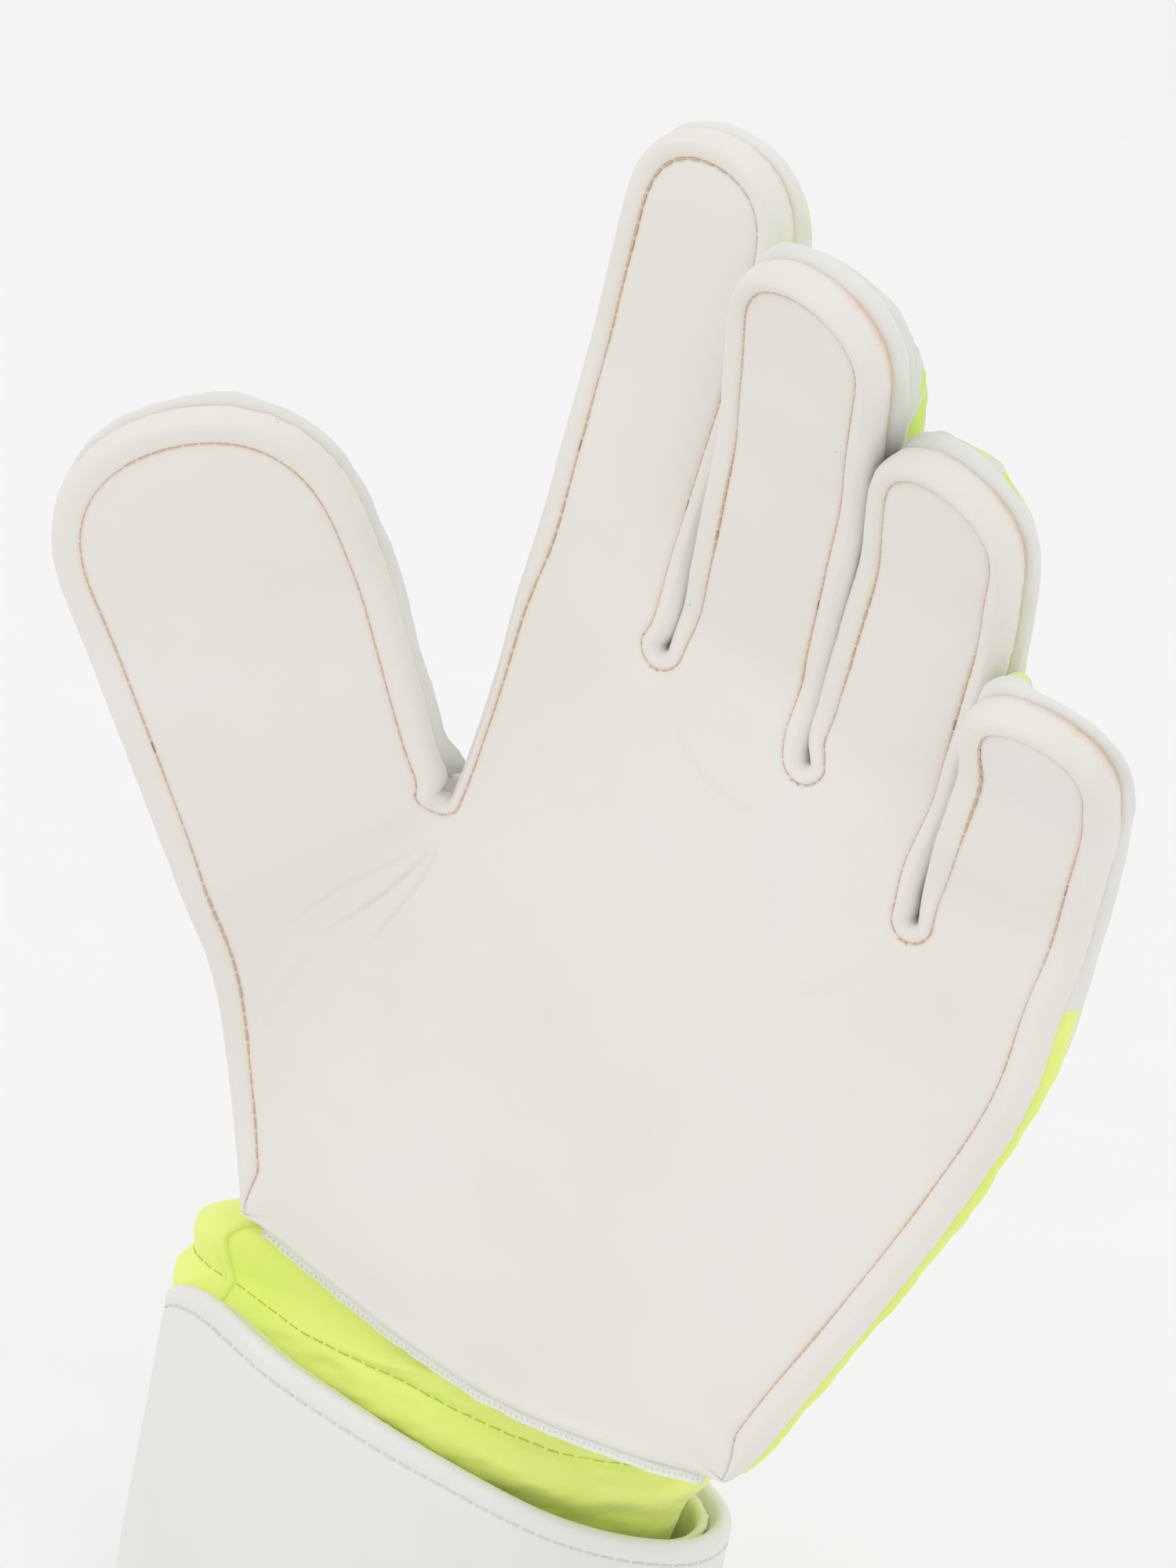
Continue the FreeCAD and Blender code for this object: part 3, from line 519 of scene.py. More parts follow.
class Web:
    """A triangle mesh over the flat pattern: strips along the outline and a filled middle."""

    def __init__(self, outline: Outline, insets: Array, spacing: float,
                 extra_points: Optional[Array] = None) -> None:
        """Build the mesh.

        Args:
            outline: The outline that it follows.
            insets: Rows of inset distances, one row for each point of the outline.
            spacing: Spacing of the points in the middle.
            extra_points: More points to pass through, where the face has fine creases.
        """
        self.outline = outline
        count, rows = insets.shape
        self.rows = rows
        strip = outline.points[:, None] + outline.normal[:, None] * insets[:, :, None]
        self.strip_index = np.arange(count * rows).reshape(count, rows)
        flat = [strip.reshape(-1, 2)]
        rim = strip[:, -1]
        self.cuts: dict[str, list[int]] = {}
        self.cut_lines: dict[str, Array] = {}
        fill_points, fill_edges = list(map(tuple, rim)), [(n, (n + 1) % count) for n in range(count)]
        paths: dict[str, list[int]] = {}
        for name, (a, b) in self.cut_ends().items():
            line = self._cut_line(rim, a, b, 3.5 if name.endswith("root") else 0.0, spacing)
            self.cut_lines[name] = line
            chain = [a]
            for spot in line:
                chain.append(len(fill_points))
                fill_points.append(tuple(spot))
            chain.append(b)
            fill_edges += list(zip(chain[:-1], chain[1:]))
            paths[name] = chain
        lines = np.array(fill_points[count:]).reshape(-1, 2)
        if extra_points is not None:
            own = extra_points[inside(extra_points, rim)]
            gap = np.sqrt(((own[:, None] - np.vstack([rim, lines])[None]) ** 2).sum(2)).min(1)
            own = own[gap > 0.5]
            fill_points += list(map(tuple, own))
            lines = np.vstack([lines, own])
        grid = self._grid(rim, lines, spacing)
        fixed = len(fill_points)
        fill_points += list(map(tuple, grid))
        result = geometry.delaunay_2d_cdt([Vector(p) for p in fill_points], fill_edges, [], 1, 1e-5)
        new_points, _, faces, origins = result[0], result[1], result[2], result[3]
        place = {}
        extra = []
        base = count * rows
        for n, sources in enumerate(origins):
            own = [q for q in sources if q < count]
            if own:
                place[n] = int(self.strip_index[own[0], -1])
                continue
            place[n] = base + len(extra)
            extra.append(tuple(new_points[n]))
            for q in sources:
                if q < fixed:
                    paths = {k: [(-place[n] - 1 if v == q else v) for v in chain]
                             for k, chain in paths.items()}
        flat.append(np.array(extra).reshape(-1, 2))
        self.flat = np.vstack(flat)
        self.fill_faces = np.array([[place[v] for v in face] for face in faces if len(face) == 3])
        for name, chain in paths.items():
            self.cuts[name] = [(-v - 1) if v < 0 else int(self.strip_index[v, -1]) for v in chain]
        self._label()

    def cut_ends(self) -> dict[str, tuple[int, int]]:
        """The two outline points of each cut across the pattern."""
        marks = self.outline.marks
        ends = {}
        for name, (a, b) in ROOT_CUTS.items():
            ends[f"{name}_root"] = (marks[a], marks[b])
            ends[f"{name}_cut"] = (marks[f"{name}_cut_ulnar"], marks[f"{name}_cut_radial"])
        return ends

    def _cut_line(self, rim: Array, a: int, b: int, clear: float, spacing: float) -> Array:
        """Points of a cut between two rim points, which leaves each of them squarely.

        Args:
            rim: The inner edge of the strips.
            a: Where the cut starts.
            b: Where it ends.
            clear: How far it goes straight in before it turns across.
            spacing: Spacing of the points.

        Returns:
            The points between the two ends.
        """
        normal = self.outline.normal
        corners = [rim[a], rim[a] + normal[a] * clear, rim[b] + normal[b] * clear,
                   rim[b]] if clear else [rim[a], rim[b]]
        rows = []
        for start, end in zip(corners[:-1], corners[1:]):
            count = max(1, int(np.linalg.norm(end - start) / spacing))
            rows += [start + (end - start) * k / count for k in range(count)]
        return np.array(rows[1:])

    @staticmethod
    def _grid(rim: Array, lines: Array, spacing: float) -> Array:
        """Evenly spread points inside a loop, clear of it and of the cut lines."""
        low, high = rim.min(0), rim.max(0)
        rise = spacing * math.sqrt(3) / 2
        rows = []
        for n, y in enumerate(np.arange(low[1], high[1], rise)):
            shift = spacing / 2 if n % 2 else 0.0
            for x in np.arange(low[0] + shift, high[0], spacing):
                rows.append((x, y))
        points = np.array(rows)
        points = points[inside(points, rim)]
        keep = np.ones(len(points), bool)
        for chunk in range(0, len(points), 2000):
            part = points[chunk:chunk + 2000]
            for others, clear in ((rim, 0.75), (lines, 0.6)):
                gap = np.sqrt(((part[:, None] - others[None]) ** 2).sum(2)).min(1)
                keep[chunk:chunk + 2000] &= gap > spacing * clear
        return points[keep]

    def _label(self) -> None:
        """Give every column of the strip and every filled triangle its region."""
        outline = self.outline
        count = len(outline.points)
        self.column_region = list(outline.region)
        centres = self.flat[self.fill_faces].mean(1)
        self.face_region = np.full(len(self.fill_faces), PALM, dtype=object)
        rim = self.flat[self.strip_index[:, -1]]
        for name in ROOT_CUTS:
            a, b = self.cut_ends()[f"{name}_root"]
            c, d = self.cut_ends()[f"{name}_cut"]
            loop = np.vstack([rim[[(a + k) % count for k in range((b - a) % count + 1)]],
                              self.cut_lines[f"{name}_root"][::-1]])
            self.face_region[inside(centres, loop)] = f"{name}_proximal"
            loop = rim[[(c + k) % count for k in range((d - c) % count + 1)]]
            self.face_region[inside(centres, loop)] = f"{name}_distal"



# ---------------------------------------------------------------- meshes

@dataclass
class Piece:
    """A closed mesh in the making, in millimetres, with where each point lies in the flat pattern."""

    name: str
    region: str
    points: Array
    flat: Array
    faces: list[tuple[int, ...]]
    zones: list[int]
    surface: int
    marks: dict[str, Array] = field(default_factory=dict)

    def surface_normals(self) -> Array:
        """Area-weighted normals of the surface, without the caps at the cuts."""
        total = np.zeros_like(self.points)
        for face in self.faces[:self.surface]:
            corner = self.points[list(face)]
            normal = np.cross(corner[1] - corner[0], corner[2] - corner[0])
            if len(face) == 4:
                normal = normal + np.cross(corner[2] - corner[0], corner[3] - corner[0])
            total[list(face)] += normal
        return total


def join_normals(pieces: Sequence[Piece]) -> list[Array]:
    """Normals that agree wherever two pieces of one skin meet at a cut.

    Args:
        pieces: The pieces of one skin.

    Returns:
        One array of unit normals for each piece.
    """
    sums: dict[tuple[int, int, int], Array] = {}
    keys, own = [], []
    for piece in pieces:
        total = piece.surface_normals()
        key = [tuple(k) for k in np.round(piece.points * 200).astype(int)]
        for k, n in zip(key, total):
            sums[k] = sums.get(k, 0) + n
        keys.append(key)
        own.append(total)
    return [unit(np.array([sums[k] for k in key])) for key in keys]


def to_object(piece: Piece, normals: Optional[Array], materials: Sequence[Material]) -> Object:
    """Make a Blender object from a piece.

    Args:
        piece: The piece.
        normals: Its normals, or None for Blender's own.
        materials: Its materials, in the order of the piece's zones.

    Returns:
        The object, linked to the scene, with its place in its mesh.
    """
    mesh = bpy.data.meshes.new(piece.name)
    mesh.from_pydata((piece.points * MM).tolist(), [], piece.faces)
    for material in materials:
        mesh.materials.append(material)
    mesh.polygons.foreach_set("material_index", piece.zones)
    mesh.polygons.foreach_set("use_smooth", [True] * len(piece.faces))
    layer = mesh.uv_layers.new(name="Flat")
    corner = np.empty(len(mesh.loops), np.int32)
    mesh.loops.foreach_get("vertex_index", corner)
    layer.data.foreach_set("uv", (piece.flat[corner] / 100.0).astype(np.float32).ravel())
    for name, values in piece.marks.items():
        attribute = mesh.attributes.new(name, "FLOAT", "POINT")
        attribute.data.foreach_set("value", values.astype(np.float32))
    mesh.update()
    if normals is not None:
        mesh.normals_split_custom_set_from_vertices(normals.tolist())
    obj = bpy.data.objects.new(piece.name, mesh)
    bpy.context.scene.collection.objects.link(obj)
    return obj


class Glove:
    """The whole glove's pattern: outline, digits, hand, and the depth of each layer."""

    PALM_THICKNESS = 6.3
    EDGE_DEPTH = 3.0

    def __init__(self, hand: Hand, digits: dict[str, Digit]) -> None:
        self.hand = hand
        self.digits = digits
        for digit in digits.values():
            digit.place(hand)
        self.outline = Outline(hand, digits)
        self.side_points = self.outline.points[~self.outline.is_heel]

    def lift(self, region: str, flat: Array, depth: Array) -> Array:
        """Put flat points of a region in their place on the hand."""
        if region == PALM:
            return self.hand.lift(flat, depth)
        return self.digits[region.split("_")[0]].lift(flat, depth, self.hand)

    def nearest(self, flat: Array, points: Array) -> tuple[Array, Array]:
        """Distance to the nearest of some points, and which one it is."""
        gap = np.empty(len(flat))
        which = np.empty(len(flat), int)
        for chunk in range(0, len(flat), 2000):
            part = flat[chunk:chunk + 2000]
            squares = ((part[:, None] - points[None]) ** 2).sum(2)
            which[chunk:chunk + 2000] = squares.argmin(1)
            gap[chunk:chunk + 2000] = np.sqrt(squares.min(1))
        return gap, which

    def near_digit(self, flat: Array, start: float, span: float) -> Array:
        """How far each flat point counts as lying on a digit, from 0 to 1."""
        best = np.zeros(len(flat))
        for digit in self.digits.values():
            x, s = digit.local(flat)
            half = np.where(x < 0, digit.radial, digit.ulnar)
            best = np.maximum(best, smooth((s - start) / span) * smooth((half + 9 - np.abs(x)) / 8))
        return best

    def thickness(self, flat: Array) -> Array:
        """Thickness of the filled glove over each flat point."""
        hand = self.hand
        rise = smooth((flat[:, 1] - 85.0) / 105.0)
        full = hand.heel_thickness + (hand.knuckle_thickness - hand.heel_thickness) * rise
        on_digit = self.near_digit(flat, -24.0, 34.0)
        target = np.zeros(len(flat))
        share = np.full(len(flat), 1e-6)
        for digit in self.digits.values():
            x, s = digit.local(flat)
            half = np.where(x < 0, digit.radial, digit.ulnar)
            own = smooth((half + 9 - np.abs(x)) / 8) * smooth((s + 34) / 20) + 1e-9
            taper = digit.tip_taper * smooth((s - digit.length + digit.taper_run) / digit.taper_run)
            target += own * (digit.thickness - taper)
            share += own
        return full + (target / share - full) * on_digit

    def dome(self, flat: Array) -> Array:
        """How far in from the side the back is still rising, over each flat point."""
        x, s = self.digits["thumb"].local(flat)
        narrow = 12.6 + 7.0 * smooth((s + 30) / 20) * smooth((34 - np.abs(x)) / 8)
        return 34.0 + (narrow - 34.0) * self.near_digit(flat, -30.0, 30.0)

    def seam_depth(self, flat: Array, thickness: Array) -> Array:
        """Depth at which the gusset ends and the back begins."""
        share = 0.03 + 0.22 * self.near_digit(flat, -26.0, 30.0)
        return self.PALM_THICKNESS + share * (thickness - self.PALM_THICKNESS) * np.minimum(1.0,
            30.0 / thickness)


def sheet_piece(glove: Glove, web: Web, name: str, region: str, top: tuple[Array, Array],
                bottom: tuple[Array, Array],
                side: Callable[[Array], list[tuple[Array, Array]]], outward_palm: bool,
                zones: Callable[[Array], Array], marks: dict[str, Array]) -> Piece:
    """One region of a thick sheet as a closed piece.

    Args:
        glove: Gives the places.
        web: The flat mesh.
        name: The piece's name.
        region: The region.
        top: Flat place and depth of every mesh point on the outer face.
        bottom: The same on the inner face.
        side: Gives the rows between the two faces for some columns, as flat places and depths.
        outward_palm: True where the outer face looks to the palm's side.
        zones: Gives the material slot of each side row.
        marks: Values of every mesh point, kept as attributes.

    Returns:
        The piece.
    """
    count, rows = web.strip_index.shape
    columns = [n for n in range(count) if web.column_region[n] == region]
    faces_top: list[tuple[int, ...]] = []
    for n in columns:
        m = (n + 1) % count
        for j in range(rows - 1):
            faces_top.append((web.strip_index[n, j], web.strip_index[m, j],
                              web.strip_index[m, j + 1], web.strip_index[n, j + 1]))
    faces_top += [tuple(f) for f in web.fill_faces[web.face_region == region]]
    used = np.unique(np.concatenate([np.array(f) for f in faces_top]))
    slot = {int(v): n for n, v in enumerate(used)}
    size = len(used)
    rims = sorted({n for n in columns} | {(n + 1) % count for n in columns})
    rim_slot = {n: k for k, n in enumerate(rims)}
    side_rows = side(np.array(rims))
    flats = [top[0][used], bottom[0][used]] + [row[0] for row in side_rows]
    depths = [top[1][used], bottom[1][used]] + [row[1] for row in side_rows]
    flat = np.vstack(flats)
    points = glove.lift(region, flat, np.concatenate(depths))

    def rim(n: int, k: int) -> int:
        """Point number of a side row at a column: row 0 is the top edge, the last the bottom edge."""
        if k == 0:
            return slot[int(web.strip_index[n, 0])]
        if k == len(side_rows) + 1:
            return size + slot[int(web.strip_index[n, 0])]
        return 2 * size + (k - 1) * len(rims) + rim_slot[n]

    faces: list[tuple[int, ...]] = []
    slots: list[int] = []
    for face in faces_top:
        own = tuple(slot[int(v)] for v in face)
        faces.append(own if outward_palm else own[::-1])
        inner = tuple(size + v for v in own)
        faces.append(inner[::-1] if outward_palm else inner)
        slots += [0, 0]
    side_slots = zones(np.arange(len(side_rows) + 1))
    for n in columns:
        m = (n + 1) % count
        for k in range(len(side_rows) + 1):
            face = (rim(n, k), rim(n, k + 1), rim(m, k + 1), rim(m, k))
            faces.append(face if outward_palm else face[::-1])
            slots.append(int(side_slots[k]))
    surface = len(faces)
    centre = points.mean(0)
    for cut, chain in web.cuts.items():
        digit, kind = cut.split("_")
        if not (region == f"{digit}_proximal" or (region == PALM and kind == "root")
                or (region == f"{digit}_distal" and kind == "cut")):
            continue
        a, b = web.cut_ends()[cut]
        path = [int(v) for v in web.strip_index[a, :-1]] + chain + [int(v)
            for v in web.strip_index[b, -2::-1]]
        path = [v for v in path if v in slot]
        caps = [(slot[p], slot[q], size + slot[q], size + slot[p]) for p, q in zip(path[:-1], path[1:])]
        if path[0] == int(web.strip_index[a, 0]):
            caps.append(tuple(rim(a, k) for k in range(len(side_rows) + 2))[::-1])
        if path[-1] == int(web.strip_index[b, 0]):
            caps.append(tuple(rim(b, k) for k in range(len(side_rows) + 2)))
        middle = points[[slot[v] for v in path]].mean(0)
        first = points[list(caps[len(path) // 2])]
        normal = np.cross(first[1] - first[0], first[3] - first[0])
        if normal @ (middle - centre) < 0:
            caps = [c[::-1] for c in caps]
        faces += caps
        slots += [0] * len(caps)
    values = {}
    for key, value in marks.items():
        edge = value[web.strip_index[rims, 0]]
        values[key] = np.concatenate([value[used], value[used]] + [edge] * len(side_rows))
    return Piece(name, region, points, flat, faces, slots, surface, values)


def ribbon_pieces(glove: Glove, name: str, profile: Callable[[Array], tuple[Array, Array]],
                  keep: Array) -> list[Piece]:
    """A closed profile swept along the outline, cut into pieces at the regions.

    Args:
        glove: Gives the outline and the places.
        name: First part of the pieces' names.
        profile: Gives the profile of some columns, as insets and depths, one row for each column.
        keep: Which outline points the ribbon passes.

    Returns:
        The pieces.
    """
    outline = glove.outline
    count = len(outline.points)
    pieces = []
    runs: list[list[int]] = []
    for n in range(count):
        if not (keep[n] and keep[(n + 1) % count]):
            continue
        if runs and runs[-1][-1] == n and outline.region[n] == outline.region[runs[-1][0]]:
            runs[-1].append((n + 1) % count)
        else:
            runs.append([n, (n + 1) % count])
    tally: dict[str, int] = {}
    for run in runs:
        region = outline.region[run[0]]
        number = tally.get(region, 0)
        tally[region] = number + 1
        index = np.array(run)
        inset, depth = profile(index)
        ring = inset.shape[1]
        flat = (outline.points[index][:, None] + outline.normal[index][:, None]
                * inset[:, :, None]).reshape(-1, 2)
        points = glove.lift(region, flat, depth.ravel())
        uv = np.stack([np.repeat(outline.run[index], ring), depth.ravel()], 1)
        faces: list[tuple[int, ...]] = []
        for a in range(len(run) - 1):
            for k in range(ring):
                m = (k + 1) % ring
                faces.append((a * ring + k, a * ring + m, (a + 1) * ring + m, (a + 1) * ring + k))
        surface = len(faces)
        faces.append(tuple(range(ring))[::-1])
        faces.append(tuple((len(run) - 1) * ring + k for k in range(ring)))
        label = f"{name}_{region}" + (f"_{number}" if number else "")
        pieces.append(Piece(label, region, points, uv, faces, [0] * len(faces), surface))
    return pieces


# ---------------------------------------------------------------- finishes

def linear(red: float, green: float, blue: float) -> tuple[float, float, float, float]:
    """A colour given in display values of 0 to 255, as the renderer's own linear numbers."""
    out = []
    for value in (red, green, blue):
        v = value / 255.0
        out.append(v / 12.92 if v <= 0.04045 else ((v + 0.055) / 1.055) ** 2.4)
    return (out[0], out[1], out[2], 1.0)


class Space(Enum):
    """Where a pattern takes its places from."""

    SOLID = "Object"
    CLOTH = "UV"


class Nodes:
    """A small hand for building node trees."""

    def __init__(self, tree: NodeTree) -> None:
        self.tree = tree
        self.column = 0

    def add(self, kind: str, values: Optional[dict] = None, **settings: object) -> Node:
        """Add a node.

        Args:
            kind: Blender's name for it.
            values: Socket values, or sockets to link from, by input name or number.
            settings: Properties of the node.

        Returns:
            The node.
        """
        node = self.tree.nodes.new(kind)
        node.location = (self.column * 40, -self.column % 7 * 120)
        self.column += 1
        for key, value in settings.items():
            setattr(node, key, value)
        for key, value in (values or {}).items():
            if isinstance(value, NodeSocket):
                self.tree.links.new(value, node.inputs[key])
            else:
                node.inputs[key].default_value = value
        return node

    def math(self, operation: str, a: object, b: object = 0.0, clamp: bool = False) -> NodeSocket:
        """A Math node's result."""
        return self.add("ShaderNodeMath", {0: a, 1: b}, operation=operation, use_clamp=clamp).outputs[0]

    def mix(self, factor: object, a: object, b: object) -> NodeSocket:
        """A colour mix's result."""
        node = self.add("ShaderNodeMix", data_type="RGBA")
        for number, value in ((0, factor), (6, a), (7, b)):
            if isinstance(value, NodeSocket):
                self.tree.links.new(value, node.inputs[number])
            else:
                node.inputs[number].default_value = value
        return node.outputs[2]

    def ramp(self, value: object, low: float, high: float, first: float = 0.0,
             last: float = 1.0) -> NodeSocket:
        """A value moved from one range to another, kept inside it."""
        return self.add("ShaderNodeMapRange", {0: value, 1: low, 2: high, 3: first, 4: last}).outputs[0]


def new_group(name: str, inputs: Sequence[tuple[str, str, object]],
              outputs: Sequence[tuple[str, str]]) -> tuple[
        NodeTree, Nodes, Node, Node]:
    """An empty shader group with its sockets.

    Args:
        name: The group's name.
        inputs: Name, socket type and value of each input.
        outputs: Name and socket type of each output.

    Returns:
        The group, a hand for it, its input node and its output node.
    """
    tree = bpy.data.node_groups.new(name, "ShaderNodeTree")
    for label, kind, value in inputs:
        socket = tree.interface.new_socket(label, in_out="INPUT", socket_type=kind)
        if value is not None:
            socket.default_value = value
    for label, kind in outputs:
        tree.interface.new_socket(label, in_out="OUTPUT", socket_type=kind)
    hand = Nodes(tree)
    return tree, hand, hand.add("NodeGroupInput"), hand.add("NodeGroupOutput")


class Groups:
    """Effects that several materials share."""

    FLOAT, COLOR, VECTOR = "NodeSocketFloat", "NodeSocketColor", "NodeSocketVector"

    def __init__(self) -> None:
        self.grain = self._grain()
        self.knit = self._knit()
        self.tint = self._tint()
        self.cells = self._cells()

    def _grain(self) -> NodeTree:
        """Fine pores and soft unevenness, as foam and coated skins have."""
        tree, hand, start, end = new_group("Fine grain", [("Vector", self.VECTOR, None),
                                                          ("Pore scale", self.FLOAT, 900.0),
                                                          ("Swell scale", self.FLOAT, 60.0),
                                                          ("Swell share", self.FLOAT, 0.5)],
                                           [("Height", self.FLOAT), ("Pores", self.FLOAT)])
        pores = hand.add("ShaderNodeTexNoise", {"Vector": start.outputs[0], "Scale": start.outputs[1],
                                                "Detail": 3.0,
                                                "Roughness": 0.65})
        swell = hand.add("ShaderNodeTexNoise", {"Vector": start.outputs[0], "Scale": start.outputs[2],
                                                "Detail": 2.0})
        share = hand.math("MULTIPLY", swell.outputs[0], start.outputs[3])
        hand.tree.links.new(hand.math("ADD", pores.outputs[0], share), end.inputs[0])
        hand.tree.links.new(hand.ramp(pores.outputs[0], 0.62, 0.78), end.inputs[1])
        return tree

    def _knit(self) -> NodeTree:
        """Rows of small loops with ribs, and a mask of the rib valleys that gets painted shade."""
        tree, hand, start, end = new_group("Knit", [("Vector", self.VECTOR, None),
                                                    ("Loops", self.FLOAT, 120.0),
                                                    ("Ribs", self.FLOAT, 60.0),
                                                    ("Rib share", self.FLOAT, 0.4)],
                                           [("Height", self.FLOAT), ("Painted valley shade", self.FLOAT)])
        split = hand.add("ShaderNodeSeparateXYZ", {0: start.outputs[0]})
        wobble = hand.add("ShaderNodeTexNoise", {"Vector": start.outputs[0], "Scale": 14.0, "Detail": 2.0})
        bend = hand.math("MULTIPLY", wobble.outputs[0], 3.0)
        across = hand.math("ADD", hand.math("MULTIPLY", split.outputs[0], start.outputs[1]), bend)
        along = hand.math("ADD", hand.math("MULTIPLY", split.outputs[1], start.outputs[1]), bend)
        loops = hand.math("MULTIPLY", hand.math("SINE", across), hand.math("SINE", along))
        ribs = hand.math("SINE", hand.math("ADD", hand.math("MULTIPLY", split.outputs[0], start.outputs[2]),
                                           bend))
        height = hand.math("ADD", hand.math("MULTIPLY", loops, 0.5),
                           hand.math("MULTIPLY", ribs, start.outputs[3]))
        hand.tree.links.new(height, end.inputs[0])
        # Painted shade: how deep in a rib valley each place lies, used to darken the colour there.
        hand.tree.links.new(hand.ramp(ribs, -0.2, -0.95), end.inputs[1])
        return tree

    def _tint(self) -> NodeTree:
        """A colour that drifts a little and carries a few dust specks."""
        tree, hand, start, end = new_group("Drift and specks",
                                           [("Vector", self.VECTOR, None), ("Color", self.COLOR, None),
                                                                ("Second color", self.COLOR, None),
                                                                ("Drift scale", self.FLOAT, 25.0),
                                                                ("Speck color", self.COLOR, None),
                                                                ("Speck share", self.FLOAT, 0.5)],
                                           [("Color", self.COLOR)])
        drift = hand.add("ShaderNodeTexNoise", {"Vector": start.outputs[0], "Scale": start.outputs[3],
                                                "Detail": 3.0})
        base = hand.mix(hand.ramp(drift.outputs[0], 0.35, 0.68), start.outputs[1], start.outputs[2])
        specks = hand.add("ShaderNodeTexVoronoi", {"Vector": start.outputs[0], "Scale": 140.0,
                                                   "Randomness": 1.0})
        pick = hand.add("ShaderNodeTexWhiteNoise", {"Vector": specks.outputs["Position"]})
        few = hand.math("GREATER_THAN", pick.outputs[0], 0.93)
        dot = hand.math("MULTIPLY", hand.ramp(specks.outputs[0], 0.05, 0.02), few)
        hand.tree.links.new(hand.mix(hand.math("MULTIPLY", dot, start.outputs[5]), base, start.outputs[4]),
                            end.inputs[0])
        return tree

    def _cells(self) -> NodeTree:
        """A broken-up cell print: how far each place is printed."""
        tree, hand, start, end = new_group("Cell print", [("Vector", self.VECTOR, None),
                                                          ("Cell scale", self.FLOAT, 13.0),
                                                          ("Gap", self.FLOAT, 0.06),
                                                          ("Patch scale", self.FLOAT, 2.2)],
                                           [("Print", self.FLOAT), ("Light", self.FLOAT)])
        warp = hand.add("ShaderNodeTexNoise", {"Vector": start.outputs[0], "Scale": 7.0, "Detail": 1.0})
        near = hand.add("ShaderNodeVectorMath", {0: warp.outputs[1], 3: 0.10}, operation="SCALE")
        place = hand.add("ShaderNodeVectorMath", {0: start.outputs[0], 1: near.outputs[0]}, operation="ADD")
        lines = hand.add("ShaderNodeTexVoronoi", {"Vector": place.outputs[0], "Scale": start.outputs[1]},
                         feature="DISTANCE_TO_EDGE")
        cell = hand.add("ShaderNodeTexVoronoi", {"Vector": place.outputs[0], "Scale": start.outputs[1]})
        patch = hand.add("ShaderNodeTexNoise", {"Vector": cell.outputs["Position"],
                                                "Scale": start.outputs[3], "Detail": 1.0})
        line = hand.math("SUBTRACT", lines.outputs[0], start.outputs[2])
        inked = hand.math("MULTIPLY", hand.ramp(line, 0.0, 0.012), hand.ramp(patch.outputs[0], 0.40, 0.43))
        hand.tree.links.new(inked, end.inputs[0])
        hand.tree.links.new(hand.ramp(patch.outputs[0], 0.56, 0.60), end.inputs[1])
        return tree


